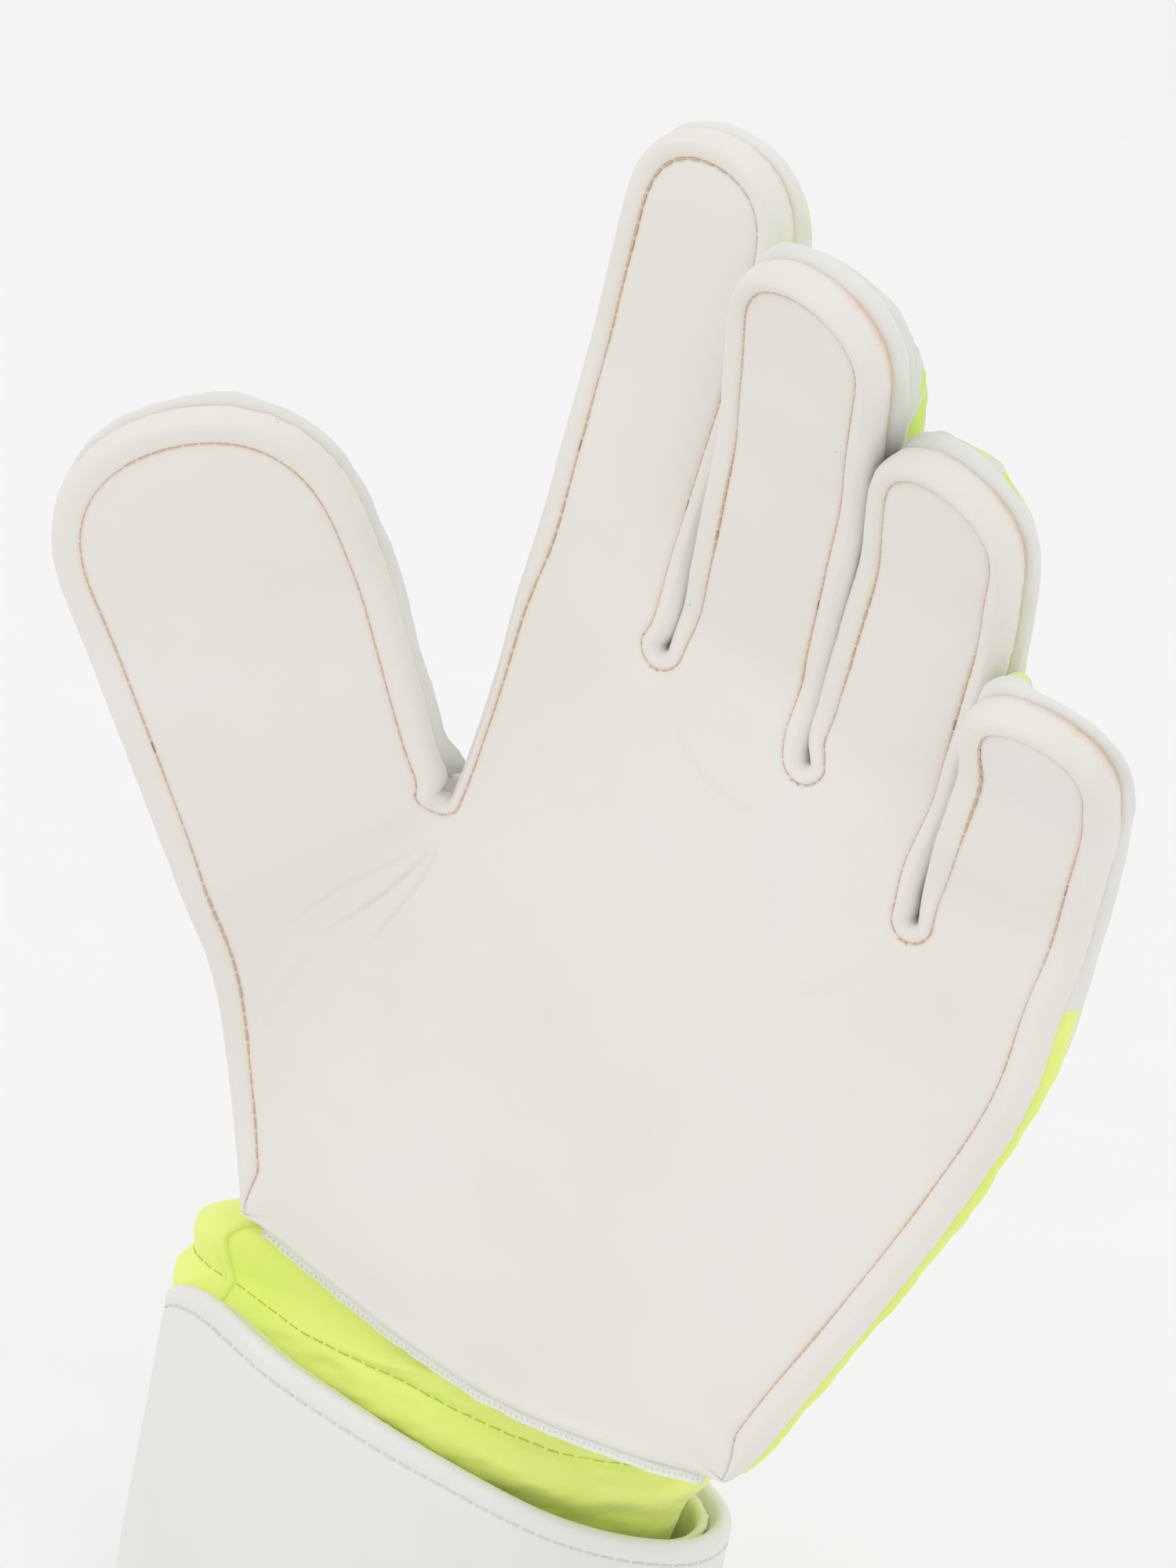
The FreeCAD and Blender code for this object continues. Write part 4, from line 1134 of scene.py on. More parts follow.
@dataclass(frozen=True)
class Finish:
    """One material: its colours, its softness and its surface grain."""

    name: str
    color: tuple[float, float, float]
    second: tuple[float, float, float]
    roughness: float
    space: Space = Space.SOLID
    sheen: float = 0.0
    knit: float = 0.0
    loops: float = 260.0
    ribs: float = 130.0
    rib_share: float = 0.3
    grain: float = 0.3
    pore_scale: float = 1400.0
    swell_scale: float = 90.0
    bump_mm: float = 0.12
    specks: float = 0.0
    fuzz: Optional[tuple[float, float, float]] = None
    crease: Optional[tuple[float, float, float]] = None
    printed: Optional[tuple[float, float, float]] = None
    print_light: Optional[tuple[float, float, float]] = None
    coat: float = 0.0

    def build(self, groups: Groups) -> Material:
        """Make the material.

        Args:
            groups: The shared effects.

        Returns:
            The material.
        """
        material = bpy.data.materials.new(self.name)
        material.use_nodes = True
        hand = Nodes(material.node_tree)
        links = material.node_tree.links
        shader = material.node_tree.nodes["Principled BSDF"]
        place = hand.add("ShaderNodeTexCoord").outputs[self.space.value]
        solid = hand.add("ShaderNodeTexCoord").outputs["Object"]
        tint = hand.add("ShaderNodeGroup", node_tree=groups.tint)
        links.new(solid, tint.inputs[0])
        tint.inputs[1].default_value = linear(*self.color)
        tint.inputs[2].default_value = linear(*self.second)
        tint.inputs[4].default_value = linear(176, 164, 146)
        tint.inputs[5].default_value = self.specks
        color = tint.outputs[0]
        grain = hand.add("ShaderNodeGroup", node_tree=groups.grain)
        links.new(solid, grain.inputs[0])
        grain.inputs[1].default_value = self.pore_scale
        grain.inputs[2].default_value = self.swell_scale
        height = hand.math("MULTIPLY", grain.outputs[0], self.grain)
        if self.knit:
            knit = hand.add("ShaderNodeGroup", node_tree=groups.knit)
            links.new(place, knit.inputs[0])
            knit.inputs[1].default_value = self.loops
            knit.inputs[2].default_value = self.ribs
            knit.inputs[3].default_value = self.rib_share
            height = hand.math("ADD", height, hand.math("MULTIPLY", knit.outputs[0], self.knit))
            # Painted shade: the colour is darkened in the knit's rib valleys, where shade would fall.
            painted_valley_shade = hand.mix(0.5, linear(*self.second), (0.35, 0.4, 0.2, 1.0)
                            if self.printed is None and self.color[2] < 150
                            else linear(*[c * 0.9 for c in self.second]))
            color = hand.mix(hand.math("MULTIPLY", knit.outputs[1], 0.35 * min(1.0, self.knit * 2)), color,
                             painted_valley_shade)
        if self.printed is not None:
            cells = hand.add("ShaderNodeGroup", node_tree=groups.cells)
            links.new(place, cells.inputs[0])
            mask = hand.add("ShaderNodeAttribute", attribute_name="ink").outputs["Fac"]
            ink = hand.mix(cells.outputs[1], linear(*self.printed), linear(*self.print_light))
            color = hand.mix(hand.math("MULTIPLY", cells.outputs[0], mask), color, ink)
        if self.crease is not None:
            mask = hand.add("ShaderNodeAttribute", attribute_name="crease").outputs["Fac"]
            noise_node = hand.add("ShaderNodeTexNoise", {"Vector": solid, "Scale": 420.0, "Detail": 2.0})
            uneven = hand.ramp(noise_node.outputs[0], 0.3, 0.7, 0.55, 1.0)
            color = hand.mix(hand.math("MULTIPLY", mask, uneven, clamp=True), color, linear(*self.crease))
        if self.fuzz is not None:
            mask = hand.add("ShaderNodeAttribute", attribute_name="raw").outputs["Fac"]
            noise_node = hand.add("ShaderNodeTexNoise", {"Vector": solid, "Scale": 900.0, "Detail": 4.0,
                                                         "Roughness": 0.7})
            broken = hand.ramp(hand.math("ADD", mask, hand.math("MULTIPLY", noise_node.outputs[0], 0.9)),
                               0.75, 1.25)
            color = hand.mix(hand.math("MULTIPLY", broken, hand.ramp(mask, 0.0, 0.25), clamp=True), color,
                             linear(*self.fuzz))
            height = hand.math("ADD", height, hand.math("MULTIPLY", noise_node.outputs[0],
                                                        hand.math("MULTIPLY", mask, 2.5)))
        links.new(color, shader.inputs["Base Color"])
        rough = hand.ramp(grain.outputs[0], 0.3, 1.1, self.roughness - 0.06, min(1.0, self.roughness + 0.06))
        links.new(rough, shader.inputs["Roughness"])
        bump = hand.add("ShaderNodeBump", {"Height": height, "Strength": 0.6, "Distance": self.bump_mm * MM})
        links.new(bump.outputs[0], shader.inputs["Normal"])
        shader.inputs["Sheen Weight"].default_value = self.sheen
        shader.inputs["Sheen Roughness"].default_value = 0.5
        shader.inputs["Specular IOR Level"].default_value = 0.3
        shader.inputs["Coat Weight"].default_value = self.coat
        return material


LATEX = Finish("Palm latex", (232, 229, 224), (228, 225, 217), 0.86, sheen=0.15, grain=0.35, specks=0.5,
               bump_mm=0.10,
               fuzz=(226, 202, 176), crease=(228, 208, 182))
GUSSET = Finish("Gusset knit", (229, 229, 224), (223, 224, 218), 0.9, space=Space.SOLID, sheen=0.3, grain=0.5,
                pore_scale=1800.0, bump_mm=0.14)
BACK = Finish("Printed back knit", (222, 225, 216), (216, 220, 211), 0.85, space=Space.CLOTH, sheen=0.2,
              knit=0.5,
              loops=340.0, ribs=170.0, rib_share=0.15, grain=0.3, bump_mm=0.10,
              printed=(206, 236, 92), print_light=(224, 240, 150))
LINING = Finish("Towel lining", (228, 228, 222), (220, 221, 214), 0.95, sheen=0.4, grain=1.0,
                pore_scale=1100.0,
                bump_mm=0.3)
CUFF = Finish("Neon rib knit", (238, 248, 138), (230, 246, 120), 0.8, space=Space.CLOTH, sheen=0.25, knit=0.3,
              loops=620.0, ribs=2100.0, rib_share=0.06, grain=0.25, bump_mm=0.05)
PIPING = Finish("Neon piping", (233, 246, 140), (226, 243, 120), 0.75, sheen=0.3, grain=0.4, bump_mm=0.08)
SKIN = Finish("Strap skin", (232, 231, 228), (228, 227, 223), 0.55, grain=0.3, pore_scale=1600.0,
              bump_mm=0.05)
PLUSH = Finish("Strap plush", (232, 238, 190), (222, 232, 160), 0.95, sheen=0.6, grain=1.0, pore_scale=1300.0,
               bump_mm=0.3)
LOOP = Finish("Loop pile", (222, 222, 217), (212, 212, 206), 0.95, sheen=0.5, grain=1.0, pore_scale=1500.0,
              bump_mm=0.3)
HOOK = Finish("Hook tape", (226, 226, 220), (216, 216, 210), 0.45, grain=0.3, bump_mm=0.06)
GRIP = Finish("Grip rubber", (208, 235, 100), (198, 226, 90), 0.5, grain=0.35, bump_mm=0.08)
THREAD_TAN = Finish("Tan thread", (226, 196, 158), (218, 186, 148), 0.7, sheen=0.2, grain=0.5, bump_mm=0.05)
THREAD_WHITE = Finish("White thread", (230, 226, 218), (222, 216, 206), 0.7, sheen=0.2, grain=0.5,
                      bump_mm=0.05)
THREAD_NEON = Finish("Neon thread", (190, 222, 70), (182, 214, 66), 0.7, sheen=0.2, grain=0.5, bump_mm=0.05)
THREAD_PALE = Finish("Zigzag thread", (242, 246, 240), (236, 242, 228), 0.75, sheen=0.3, grain=0.5,
                     bump_mm=0.05)
FLOOR = Finish("Floor", (243, 243, 243), (242, 242, 242), 0.9, grain=0.2, bump_mm=0.02)


# ---------------------------------------------------------------- stitches

class Stitcher:
    """Puts stitches along lines with one geometry tree."""

    def __init__(self) -> None:
        self.tree = self._tree()

    def _tree(self) -> NodeTree:
        """Short rounded bars along a curve, tilted from it by a set turn."""
        tree = bpy.data.node_groups.new("Stitch run", "GeometryNodeTree")
        face = tree.interface
        face.new_socket("Geometry", in_out="INPUT", socket_type="NodeSocketGeometry")
        for label, value in (("Pitch", 0.003), ("Length", 0.002), ("Thread", 0.0002), ("Tilt", 0.0)):
            face.new_socket(label, in_out="INPUT", socket_type="NodeSocketFloat").default_value = value
        face.new_socket("Material", in_out="INPUT", socket_type="NodeSocketMaterial")
        face.new_socket("Geometry", in_out="OUTPUT", socket_type="NodeSocketGeometry")
        hand = Nodes(tree)
        start, end = hand.add("NodeGroupInput"), hand.add("NodeGroupOutput")
        spaced = hand.add("GeometryNodeResampleCurve", {"Curve": start.outputs[0],
                                                        "Length": start.outputs[1]}, mode="LENGTH")
        tangent = hand.add("GeometryNodeInputTangent")
        turned = hand.add("FunctionNodeAlignRotationToVector", {"Vector": tangent.outputs[0]}, axis="Z")
        tilt = hand.add("ShaderNodeCombineXYZ", {0: start.outputs[4]})
        rotated = hand.add("FunctionNodeRotateRotation", {0: turned.outputs[0], 1: tilt.outputs[0]},
                           rotation_space="LOCAL")
        bar = hand.add("GeometryNodeMeshCylinder", {"Vertices": 6, "Radius": 1.0, "Depth": 1.0},
                       fill_type="TRIANGLE_FAN")
        size = hand.add("ShaderNodeCombineXYZ", {0: start.outputs[3], 1: start.outputs[3],
                                                 2: start.outputs[2]})
        placed = hand.add("GeometryNodeInstanceOnPoints", {"Points": spaced.outputs[0],
                                                           "Instance": bar.outputs[0],
                                                           "Rotation": rotated.outputs[0],
                                                           "Scale": size.outputs[0]})
        real = hand.add("GeometryNodeRealizeInstances", {0: placed.outputs[0]})
        dressed = hand.add("GeometryNodeSetMaterial", {"Geometry": real.outputs[0],
                                                       "Material": start.outputs[5]})
        tree.links.new(dressed.outputs[0], end.inputs[0])
        return tree

    def run(self, name: str, lines: Sequence[Array], material: Material, pitch: float, length: float,
            thread: float, tilt: float = 0.0) -> Object:
        """Stitches along some lines, as one mesh.

        Args:
            name: The piece's name.
            lines: Rows of points in millimetres.
            material: The thread's finish.
            pitch: Spacing in millimetres.
            length: A stitch's length in millimetres.
            thread: The thread's radius in millimetres.
            tilt: Turn of each stitch from its line, in degrees.

        Returns:
            The piece.
        """
        curve = bpy.data.curves.new(name + "_path", "CURVE")
        curve.dimensions = "3D"
        for line in lines:
            spline = curve.splines.new("POLY")
            spline.points.add(len(line) - 1)
            spline.points.foreach_set("co", np.column_stack([line * MM, np.ones(len(line))]).ravel())
        guide = bpy.data.objects.new(name + "_path", curve)
        bpy.context.scene.collection.objects.link(guide)
        modifier = guide.modifiers.new("Stitches", "NODES")
        modifier.node_group = self.tree
        sockets = {item.name: item.identifier for item in self.tree.interface.items_tree
                   if item.in_out == "INPUT"}
        for label, value in (("Pitch", pitch * MM), ("Length", length * MM), ("Thread", thread * MM),
                             ("Tilt", math.radians(tilt)), ("Material", material)):
            modifier[sockets[label]] = value
        graph = bpy.context.evaluated_depsgraph_get()
        mesh = bpy.data.meshes.new_from_object(guide.evaluated_get(graph))
        mesh.name = name
        bpy.data.objects.remove(guide)
        bpy.data.curves.remove(curve)
        piece = bpy.data.objects.new(name, mesh)
        bpy.context.scene.collection.objects.link(piece)
        mesh.polygons.foreach_set("use_smooth", [True] * len(mesh.polygons))
        return piece


# ---------------------------------------------------------------- the hand's pieces

PARTS = ("proximal", "distal")
REGIONS = (PALM,) + tuple(f"{digit}_{part}" for digit in ROOT_CUTS for part in PARTS)


def hang(glove: Glove, obj: Object, region: str) -> None:
    """Fix a palm piece to the hand's body; a digit's piece is only baked in place and fixed to no body.

    Args:
        glove: Gives the joints' places.
        obj: The piece.
        region: Its region.
    """
    if region == PALM:
        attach(obj, "hand")
        return
    name, part = region.split("_")
    digit = glove.digits[name]
    if part == "proximal":
        way, spot, reach, bodies = unit(digit.distal + digit.proximal), digit.pivot, digit.reach, ("hand",
            region)
        marks = glove.outline.marks
        lead = digit.lead([glove.outline.points[marks[mark]] for mark in ROOT_CUTS[name]
                           if mark.endswith("crotch")])
    else:
        lead = 0.0
        way, spot, reach = unit(digit.proximal + digit.tip_direction), digit.pivot_middle, digit.ramp
        bodies = (f"{name}_proximal", region)
    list(bodies)
    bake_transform(obj)


@dataclass
class PalmFoam:
    """The latex palm: a foam slab with a rolled edge held down by a stitched groove."""

    glove: Glove
    start: float = 1.5
    groove_depth: float = 0.6
    groove_width: float = 0.6
    roll: float = 0.35
    puff: float = 0.35
    spacing: float = 1.6
    edge_rows: tuple = ((0.85, 0.3), (0.4, 0.8), (0.1, 1.6), (0.0, 2.8), (0.2, 4.2), (0.9, 5.4))
    bare_edges: tuple = (("index", 1.0, 0.35), ("middle", 1.0, 0.3), ("ring", 0.9, 0.25),
                         ("little", 0.9, 0.5),
                         ("thumb", 0.75, 0.75))

    def __post_init__(self) -> None:
        outline = self.glove.outline
        count = len(outline.points)
        self.scale = self._corner_scale()
        stitched = np.where(outline.is_heel, 0.0, 1.0)
        for _ in range(10):
            stitched = (stitched * 2 + np.roll(stitched, 1) + np.roll(stitched, -1)) / 4
        self.stitched = stitched
        groove = np.maximum(outline.groove_inset, self.start + 0.9)
        shares = np.array([0.0, 0.2, 0.4, 0.58, 0.72, 0.84, 0.93, 1.0])
        beyond = np.array([0.3, 0.65, 1.1, 1.7, 2.5])
        inner = self.start + (groove[:, None] - self.start) * shares
        self.base = np.hstack([inner, groove[:, None] + beyond])
        self.groove = groove
        self.web = Web(outline, self.base * self.scale[:, None], self.spacing, self._crease_points())
        gap, which = self.glove.nearest(self.web.flat, outline.points)
        strip = self.web.strip_index.ravel()
        which[strip] = np.repeat(np.arange(count), self.base.shape[1])
        inset = gap / np.maximum(self.scale[which], 0.2)
        inset[strip] = self.base.ravel()
        self.column = which
        self.inset = inset
        self.depth = self._face_depth()

    def _corner_scale(self) -> Array:
        """How much the edge rows are drawn together near the heel's two corners."""
        outline = self.glove.outline
        change = np.flatnonzero(outline.is_heel != np.roll(outline.is_heel, 1))
        corners = outline.points[change]
        gap = np.sqrt(((outline.points[:, None] - corners[None]) ** 2).sum(2)).min(1)
        return np.clip(0.16 + gap / 9.0, 0.0, 1.0)

    def _face_depth(self) -> Array:
        """Depth of the palm's face below its plane at every point of the mesh."""
        groove, inset = self.groove[self.column], self.inset
        held = self.stitched[self.column]
        dip = self.groove_depth * held
        crest = groove * 0.5
        u = np.clip((inset - crest) / (groove - crest), 0.0, 1.0)
        rolled = dip * (1 - (1 - u ** 2.6) ** 0.6) - self.roll * held * np.sqrt(np.clip(1 - u ** 2, 0, 1)) \
            * smooth((inset - 0.3) / (crest - 0.3))
        e = np.maximum(inset - groove, 0.0)
        plateau = dip * np.exp(-e / self.groove_width) - self.puff * smooth(e / 6.0)
        depth = np.where(inset < groove, rolled, plateau)
        flat = self.web.flat
        calm = smooth((inset - 1.0) / 3.0)
        depth = depth + calm * (0.35 * wander(flat, 26.0, 3.1) + 0.10 * wander(flat, 7.0, 8.3))
        self.tan = np.zeros(len(flat))
        for line, width, height, tan in self._creases():
            gap, which = self.glove.nearest(flat, line)
            share = np.sin(np.pi * np.clip(which / (len(line) - 1), 0.02, 0.98)) ** 0.6
            depth = depth + calm * share * height * np.exp(-(gap / width) ** 2)
            depth = depth - calm * share * height * 0.45 * np.exp(-((gap - width * 2) / (width * 1.4)) ** 2)
            self.tan = np.maximum(self.tan, tan * share * np.exp(-(gap / 0.4) ** 2))
        return depth

    def _creases(self) -> Iterable[tuple[Array, float, float, float]]:
        """The soft creases of the palm: a line, its width, its depth and how tan it is."""
        x, z = self.glove.hand.crotch
        for line, width, height, tan in (
            (((x - 0.8, z - 4.5), (x - 4.0, z - 10.5), (x - 10.0, z - 18.5), (x - 18.0, z - 27.0)), 0.4,
             0.32, 0.5),
            (((x - 0.2, z - 5.0), (x - 2.6, z - 12.5), (x - 6.5, z - 20.0), (x - 11.0, z - 28.0)), 0.4, 0.25,
             0.3),
            (((x - 1.6, z - 5.0), (x - 7.5, z - 11.0), (x - 16.0, z - 18.0), (x - 24.0, z - 27.0)), 0.45,
             0.22, 0.22),
            (((x - 17.0, z - 28.0), (x - 22.5, z - 38.0), (x - 27.0, z - 52.0)), 1.0, 0.30, 0.0),
            (((x - 23.0, z - 30.0), (x - 27.0, z - 40.0), (x - 30.0, z - 56.0)), 0.8, 0.22, 0.0),
            (((29.0, 198.0), (34.0, 191.0), (43.0, 186.5), (51.0, 186.0)), 0.7, 0.30, 0.0),
            (((53.5, 187.5), (52.5, 179.0), (55.5, 169.0), (63.0, 160.0)), 1.0, 0.34, 0.0),
            (((75.0, 170.0), (68.5, 164.5), (61.0, 159.0)), 1.0, 0.24, 0.0),
            (((4.0, 96.0), (22.0, 101.0), (44.0, 99.0), (60.0, 92.0)), 4.0, 0.25, 0.0),
        ):
            yield catmull(line, 0.8), width, height, tan

    def _crease_points(self) -> Array:
        """Points along both sides of the fine creases."""
        rows = []
        for line, width, _, _ in self._creases():
            if width > 2.0:
                continue
            tangent = unit(np.gradient(line, axis=0))
            across = np.stack([-tangent[:, 1], tangent[:, 0]], 1)
            rows += [line + across * width * share for share in (-2.2, -1.0, 0.0, 1.0, 2.2)]
        return np.vstack(rows)

    def _raw_share(self) -> Array:
        """How bare and tan the cut edge of the foam shows at each outline point."""
        outline = self.glove.outline
        share = np.full(len(outline.points), 0.28)
        for name, ulnar, tip in self.bare_edges:
            digit = self.glove.digits[name]
            x, s = digit.local(outline.points)
            mine = np.array([r.startswith(name) for r in outline.region])
            outer = smooth((x + 4) / 14)
            value = ulnar * outer * smooth((s + 20) / 20) + tip * smooth((s - digit.length + 16) / 10) * (1
                - outer)
            share = np.where(mine, np.maximum(0.22, value), share)
        return outline._settle(share, 10)

    def build(self, finish: Material) -> dict[str, Object]:
        """Make the eleven pieces.

        Args:
            finish: The latex.

        Returns:
            The pieces by region.
        """
        glove, web, outline = self.glove, self.web, self.glove.outline
        raw = self._raw_share()
        crease = np.exp(-np.abs(self.inset - self.groove[self.column]) / 0.33) * self.stitched[self.column]
        uneven = 0.18 + 0.55 * np.clip(0.5 + wander(web.flat, 14.0, 21.7), 0, 1)
        marks = {"crease": np.maximum(crease * uneven, self.tan), "raw": np.zeros(len(web.flat))}
        bottom = (web.flat, np.full(len(web.flat), glove.PALM_THICKNESS))

        def side(rims: Array) -> list[tuple[Array, Array]]:
            """Rows down the cut edge."""
            rows = []
            fuzz = 0.16 * wander(outline.points[rims], 1.3, 5.5)
            for inset, depth in self.edge_rows:
                place = inset * self.scale[rims] + fuzz * min(1.0, depth / 2.0)
                rows.append((outline.points[rims] + outline.normal[rims] * place[:, None],
                             np.full(len(rims), depth)))
            return rows

        pieces = [sheet_piece(glove, web, f"{region}_foam", region, (web.flat, self.depth), bottom, side,
                              True,
                              lambda k: np.zeros(len(k)), marks) for region in REGIONS]
        normals = join_normals(pieces)
        made = {}
        bareness = np.array([0.0, 0.0, 0.02, 0.14, 0.55, 1.0])
        for piece, normal in zip(pieces, normals):
            columns = sorted({n for n in range(len(outline.points)) if web.column_region[n] == piece.region}
                             | {(n + 1) % len(outline.points) for n in range(len(outline.points))
                                if web.column_region[n] == piece.region})
            rows = len(self.edge_rows)
            tail = np.concatenate([raw[columns] * b for b in bareness])
            piece.marks["raw"][-rows * len(columns):] = tail
            piece.marks["crease"][-rows * len(columns):] = 0.0
            made[piece.region] = to_object(piece, normal, [finish])
        return made

    def heel_line(self) -> Array:
        """The line where the heel's lower edge meets the cuff."""
        outline = self.glove.outline
        index = np.flatnonzero(outline.is_heel)[3:-3]
        wave = 0.5 * wander(np.stack([outline.run[index], outline.run[index]], 1), 5.0, 17.0)
        place = outline.points[index] - outline.normal[index] * (1.2 + 0.6 * wave)[:, None]
        return self.glove.hand.lift(place, np.full(len(index), 3.2))

    def groove_lines(self, region: str, lift: float = 0.15) -> list[Array]:
        """The line of the stitched groove in a region, in place on the hand."""
        outline = self.glove.outline
        count = len(outline.points)
        runs: list[list[int]] = []
        for n in range(count):
            if outline.region[n] != region or outline.is_heel[n] or self.scale[n] < 0.6:
                continue
            if runs and runs[-1][-1] == n:
                runs[-1].append((n + 1) % count)
            else:
                runs.append([n, (n + 1) % count])
        lines = []
        for run in runs:
            index = np.array(run)
            place = outline.points[index] + outline.normal[index] * (self.groove * self.scale)[index][:, None]
            lines.append(self.glove.lift(region, place, self.groove_depth * self.stitched[index] - lift))
        return [line for line in lines if len(line) > 2]


@dataclass
class Gussets:
    """The knit strips that join the palm to the back along the sides."""

    glove: Glove
    wall: float = 1.2
    bulge: float = 1.4
    rows: int = 11

    def build(self, finish: Material, edge: Material,
              scale: Array) -> list[tuple[Object, str, float]]:
        """Make the strips.

        Args:
            finish: The knit.
            edge: The narrow strip along the little finger's side of the hand.
            scale: How much the insets shrink near the heel's corners.

        Returns:
            The pieces with their regions and their lengths in metres.
        """
        glove, outline = self.glove, self.glove.outline
        seam = glove.seam_depth(outline.points, glove.thickness(outline.points))

        def profile(index: Array) -> tuple[Array, Array]:
            """Outer and inner line of the strip at some outline points."""
            t = np.linspace(0, 1, self.rows)[None]
            low, high = glove.PALM_THICKNESS - 0.9, seam[index][:, None] + 0.9
            depth = low + (high - low) * t
            spots = np.stack([np.repeat(outline.run[index] / 3.2, self.rows), depth.ravel()], 1)
            folds = wander(spots, 4.2, 12.9).reshape(depth.shape) + 0.6 * wander(spots, 1.9,
                2.2).reshape(depth.shape)
            shape = np.sin(np.pi * t) ** 0.7
            out = (1.15 - self.bulge * shape - 0.55 * folds * shape) * scale[index][:, None] ** 0.5
            inner = out + self.wall
            return np.hstack([out, inner[:, ::-1]]), np.hstack([depth, depth[:, ::-1]])

        keep = ~outline.is_heel
        keep[np.flatnonzero(outline.is_heel & ~np.roll(outline.is_heel, 1))] = True
        pieces = ribbon_pieces(glove, "gusset", profile, keep)
        normals = join_normals(pieces)
        made = []
        for piece, normal in zip(pieces, normals):
            middle = piece.points.reshape(-1, 2 * self.rows, 3)[:, self.rows // 2]
            length = float(np.linalg.norm(np.diff(middle, axis=0), axis=1).sum()) * MM
            made.append((to_object(piece, normal, [edge if piece.name == "gusset_palm" else finish]),
                         piece.region, length))
        return made


@dataclass
class BackShell:
    """The back of the hand and of each digit: one padded skin that curves over from seam to seam."""

    glove: Glove
    wall: float = 2.4
    start: float = 1.0
    spacing: float = 1.9
    base: tuple = (0.0, 0.04, 0.16, 0.36, 0.66, 1.1, 1.7, 2.5, 3.6, 5.0)

    def build(self, finish: Material, lining: Material, scale: Array) -> dict[str, Object]:
        """Make the eleven pieces.

        Args:
            finish: The printed outer fabric.
            lining: The inside.
            scale: How much the insets shrink near the heel's corners.

        Returns:
            The pieces by region.
        """
        glove, outline = self.glove, self.glove.outline
        insets = (self.start + np.array(self.base)[None]) * np.maximum(scale, 0.16)[:, None]
        web = Web(outline, insets, self.spacing)
        side_index = np.flatnonzero(~outline.is_heel)
        gap, which = glove.nearest(web.flat, outline.points[side_index])
        column = side_index[which]
        own = np.repeat(np.arange(len(outline.points)), insets.shape[1])
        strip = web.strip_index.ravel()
        on_side = ~outline.is_heel[own]
        gap[strip[on_side]] = insets.ravel()[on_side]
        column[strip[on_side]] = own[on_side]
        reach = glove.dome(web.flat)
        t = np.clip((gap - self.start * np.maximum(scale[column], 0.16)) / (reach - self.start), 0.0, 1.0)
        tight = glove.near_digit(web.flat, -34.0, 34.0)
        rise = tight * np.sqrt(1 - (1 - t) ** 2) + (1 - tight) * np.sin(np.pi * t / 2) ** 0.85
        full = glove.thickness(web.flat)
        low = glove.seam_depth(web.flat, full)
        spots = web.flat
        folds = 0.7 * wander(spots, 17.0, 31.0) + 0.3 * wander(spots, 6.0, 14.0)
        top = low + (full - low + folds * rise) * rise
        top = self._settle(web, top, t)
        inner = low + (full - self.wall - low + folds * rise) * rise
        shifted = web.flat + outline.normal[column] * (self.wall * (1 - t)
                                                       * np.maximum(scale[column], 0.16))[:, None]
        ink = smooth((t - 0.004) / 0.012)
        marks = {"ink": ink}

        def side(rims: Array) -> list[tuple[Array, Array]]:
            """One row that rounds the turned-in edge."""
            middle = (web.flat[web.strip_index[rims, 0]] + shifted[web.strip_index[rims, 0]]) / 2
            depth = np.where(outline.is_heel[rims], (top + inner)[web.strip_index[rims, 0]] / 2,
                             top[web.strip_index[rims, 0]] - 0.5)
            return [(middle, depth)]

        pieces = [sheet_piece(glove, web, f"{region}_back_skin", region, (web.flat, top), (shifted, inner),
                              side, False,
                              lambda k: np.zeros(len(k)), marks) for region in REGIONS]
        normals = join_normals(pieces)
        made = {}
        for piece, normal in zip(pieces, normals):
            for number in range(1, piece.surface, 2):
                if number < 2 * self._top_faces(web, piece.region):
                    piece.zones[number] = 1
            made[piece.region] = to_object(piece, normal, [finish, lining])
        return made

    @staticmethod
    def _top_faces(web: Web, region: str) -> int:
        """Number of faces on one side of a region's sheet."""
        columns = sum(1 for name in web.column_region if name == region)
        return columns * (web.rows - 1) + int((web.face_region == region).sum())

    @staticmethod
    def _settle(web: Web, depth: Array, t: Array, rounds: int = 4) -> Array:
        """Smooth the depths over the filled triangles, so the ridges between two sides soften."""
        a = np.concatenate([web.fill_faces[:, [0, 1]], web.fill_faces[:, [1, 2]], web.fill_faces[:, [2, 0]]])
        free = np.zeros(len(depth))
        np.add.at(free, a[:, 0], 1)
        np.add.at(free, a[:, 1], 1)
        weight = smooth((t - 0.35) / 0.3)
        depth = depth.copy()
        for _ in range(rounds):
            total = np.zeros(len(depth))
            np.add.at(total, a[:, 0], depth[a[:, 1]])
            np.add.at(total, a[:, 1], depth[a[:, 0]])
            mean = np.where(free > 0, total / np.maximum(free, 1), depth)
            depth += (mean - depth) * 0.7 * weight * (free > 0)
        return depth


# ---------------------------------------------------------------- rings about the wrist

def ring_piece(name: str, rows: Array, closed: bool, uv: Array, zones: Optional[Array] = None) -> Piece:
    """A closed profile swept along a row of angles.

    Args:
        name: The piece's name.
        rows: Points, one profile loop for each angle, anticlockwise seen along the sweep.
        closed: True for a full ring, False for a strip with two capped ends.
        uv: The flat place of every point.
        zones: Material slot of each profile edge.

    Returns:
        The piece.
    """
    count, ring = rows.shape[:2]
    faces: list[tuple[int, ...]] = []
    slots: list[int] = []
    for a in range(count if closed else count - 1):
        b = (a + 1) % count
        for k in range(ring):
            m = (k + 1) % ring
            faces.append((a * ring + k, b * ring + k, b * ring + m, a * ring + m))
            slots.append(int(zones[k]) if zones is not None else 0)
    surface = len(faces)
    if not closed:
        faces.append(tuple(range(ring)))
        faces.append(tuple((count - 1) * ring + k for k in range(ring))[::-1])
        slots += [0, 0]
    return Piece(name, "hand", rows.reshape(-1, 3), uv.reshape(-1, 2), faces, slots, surface)


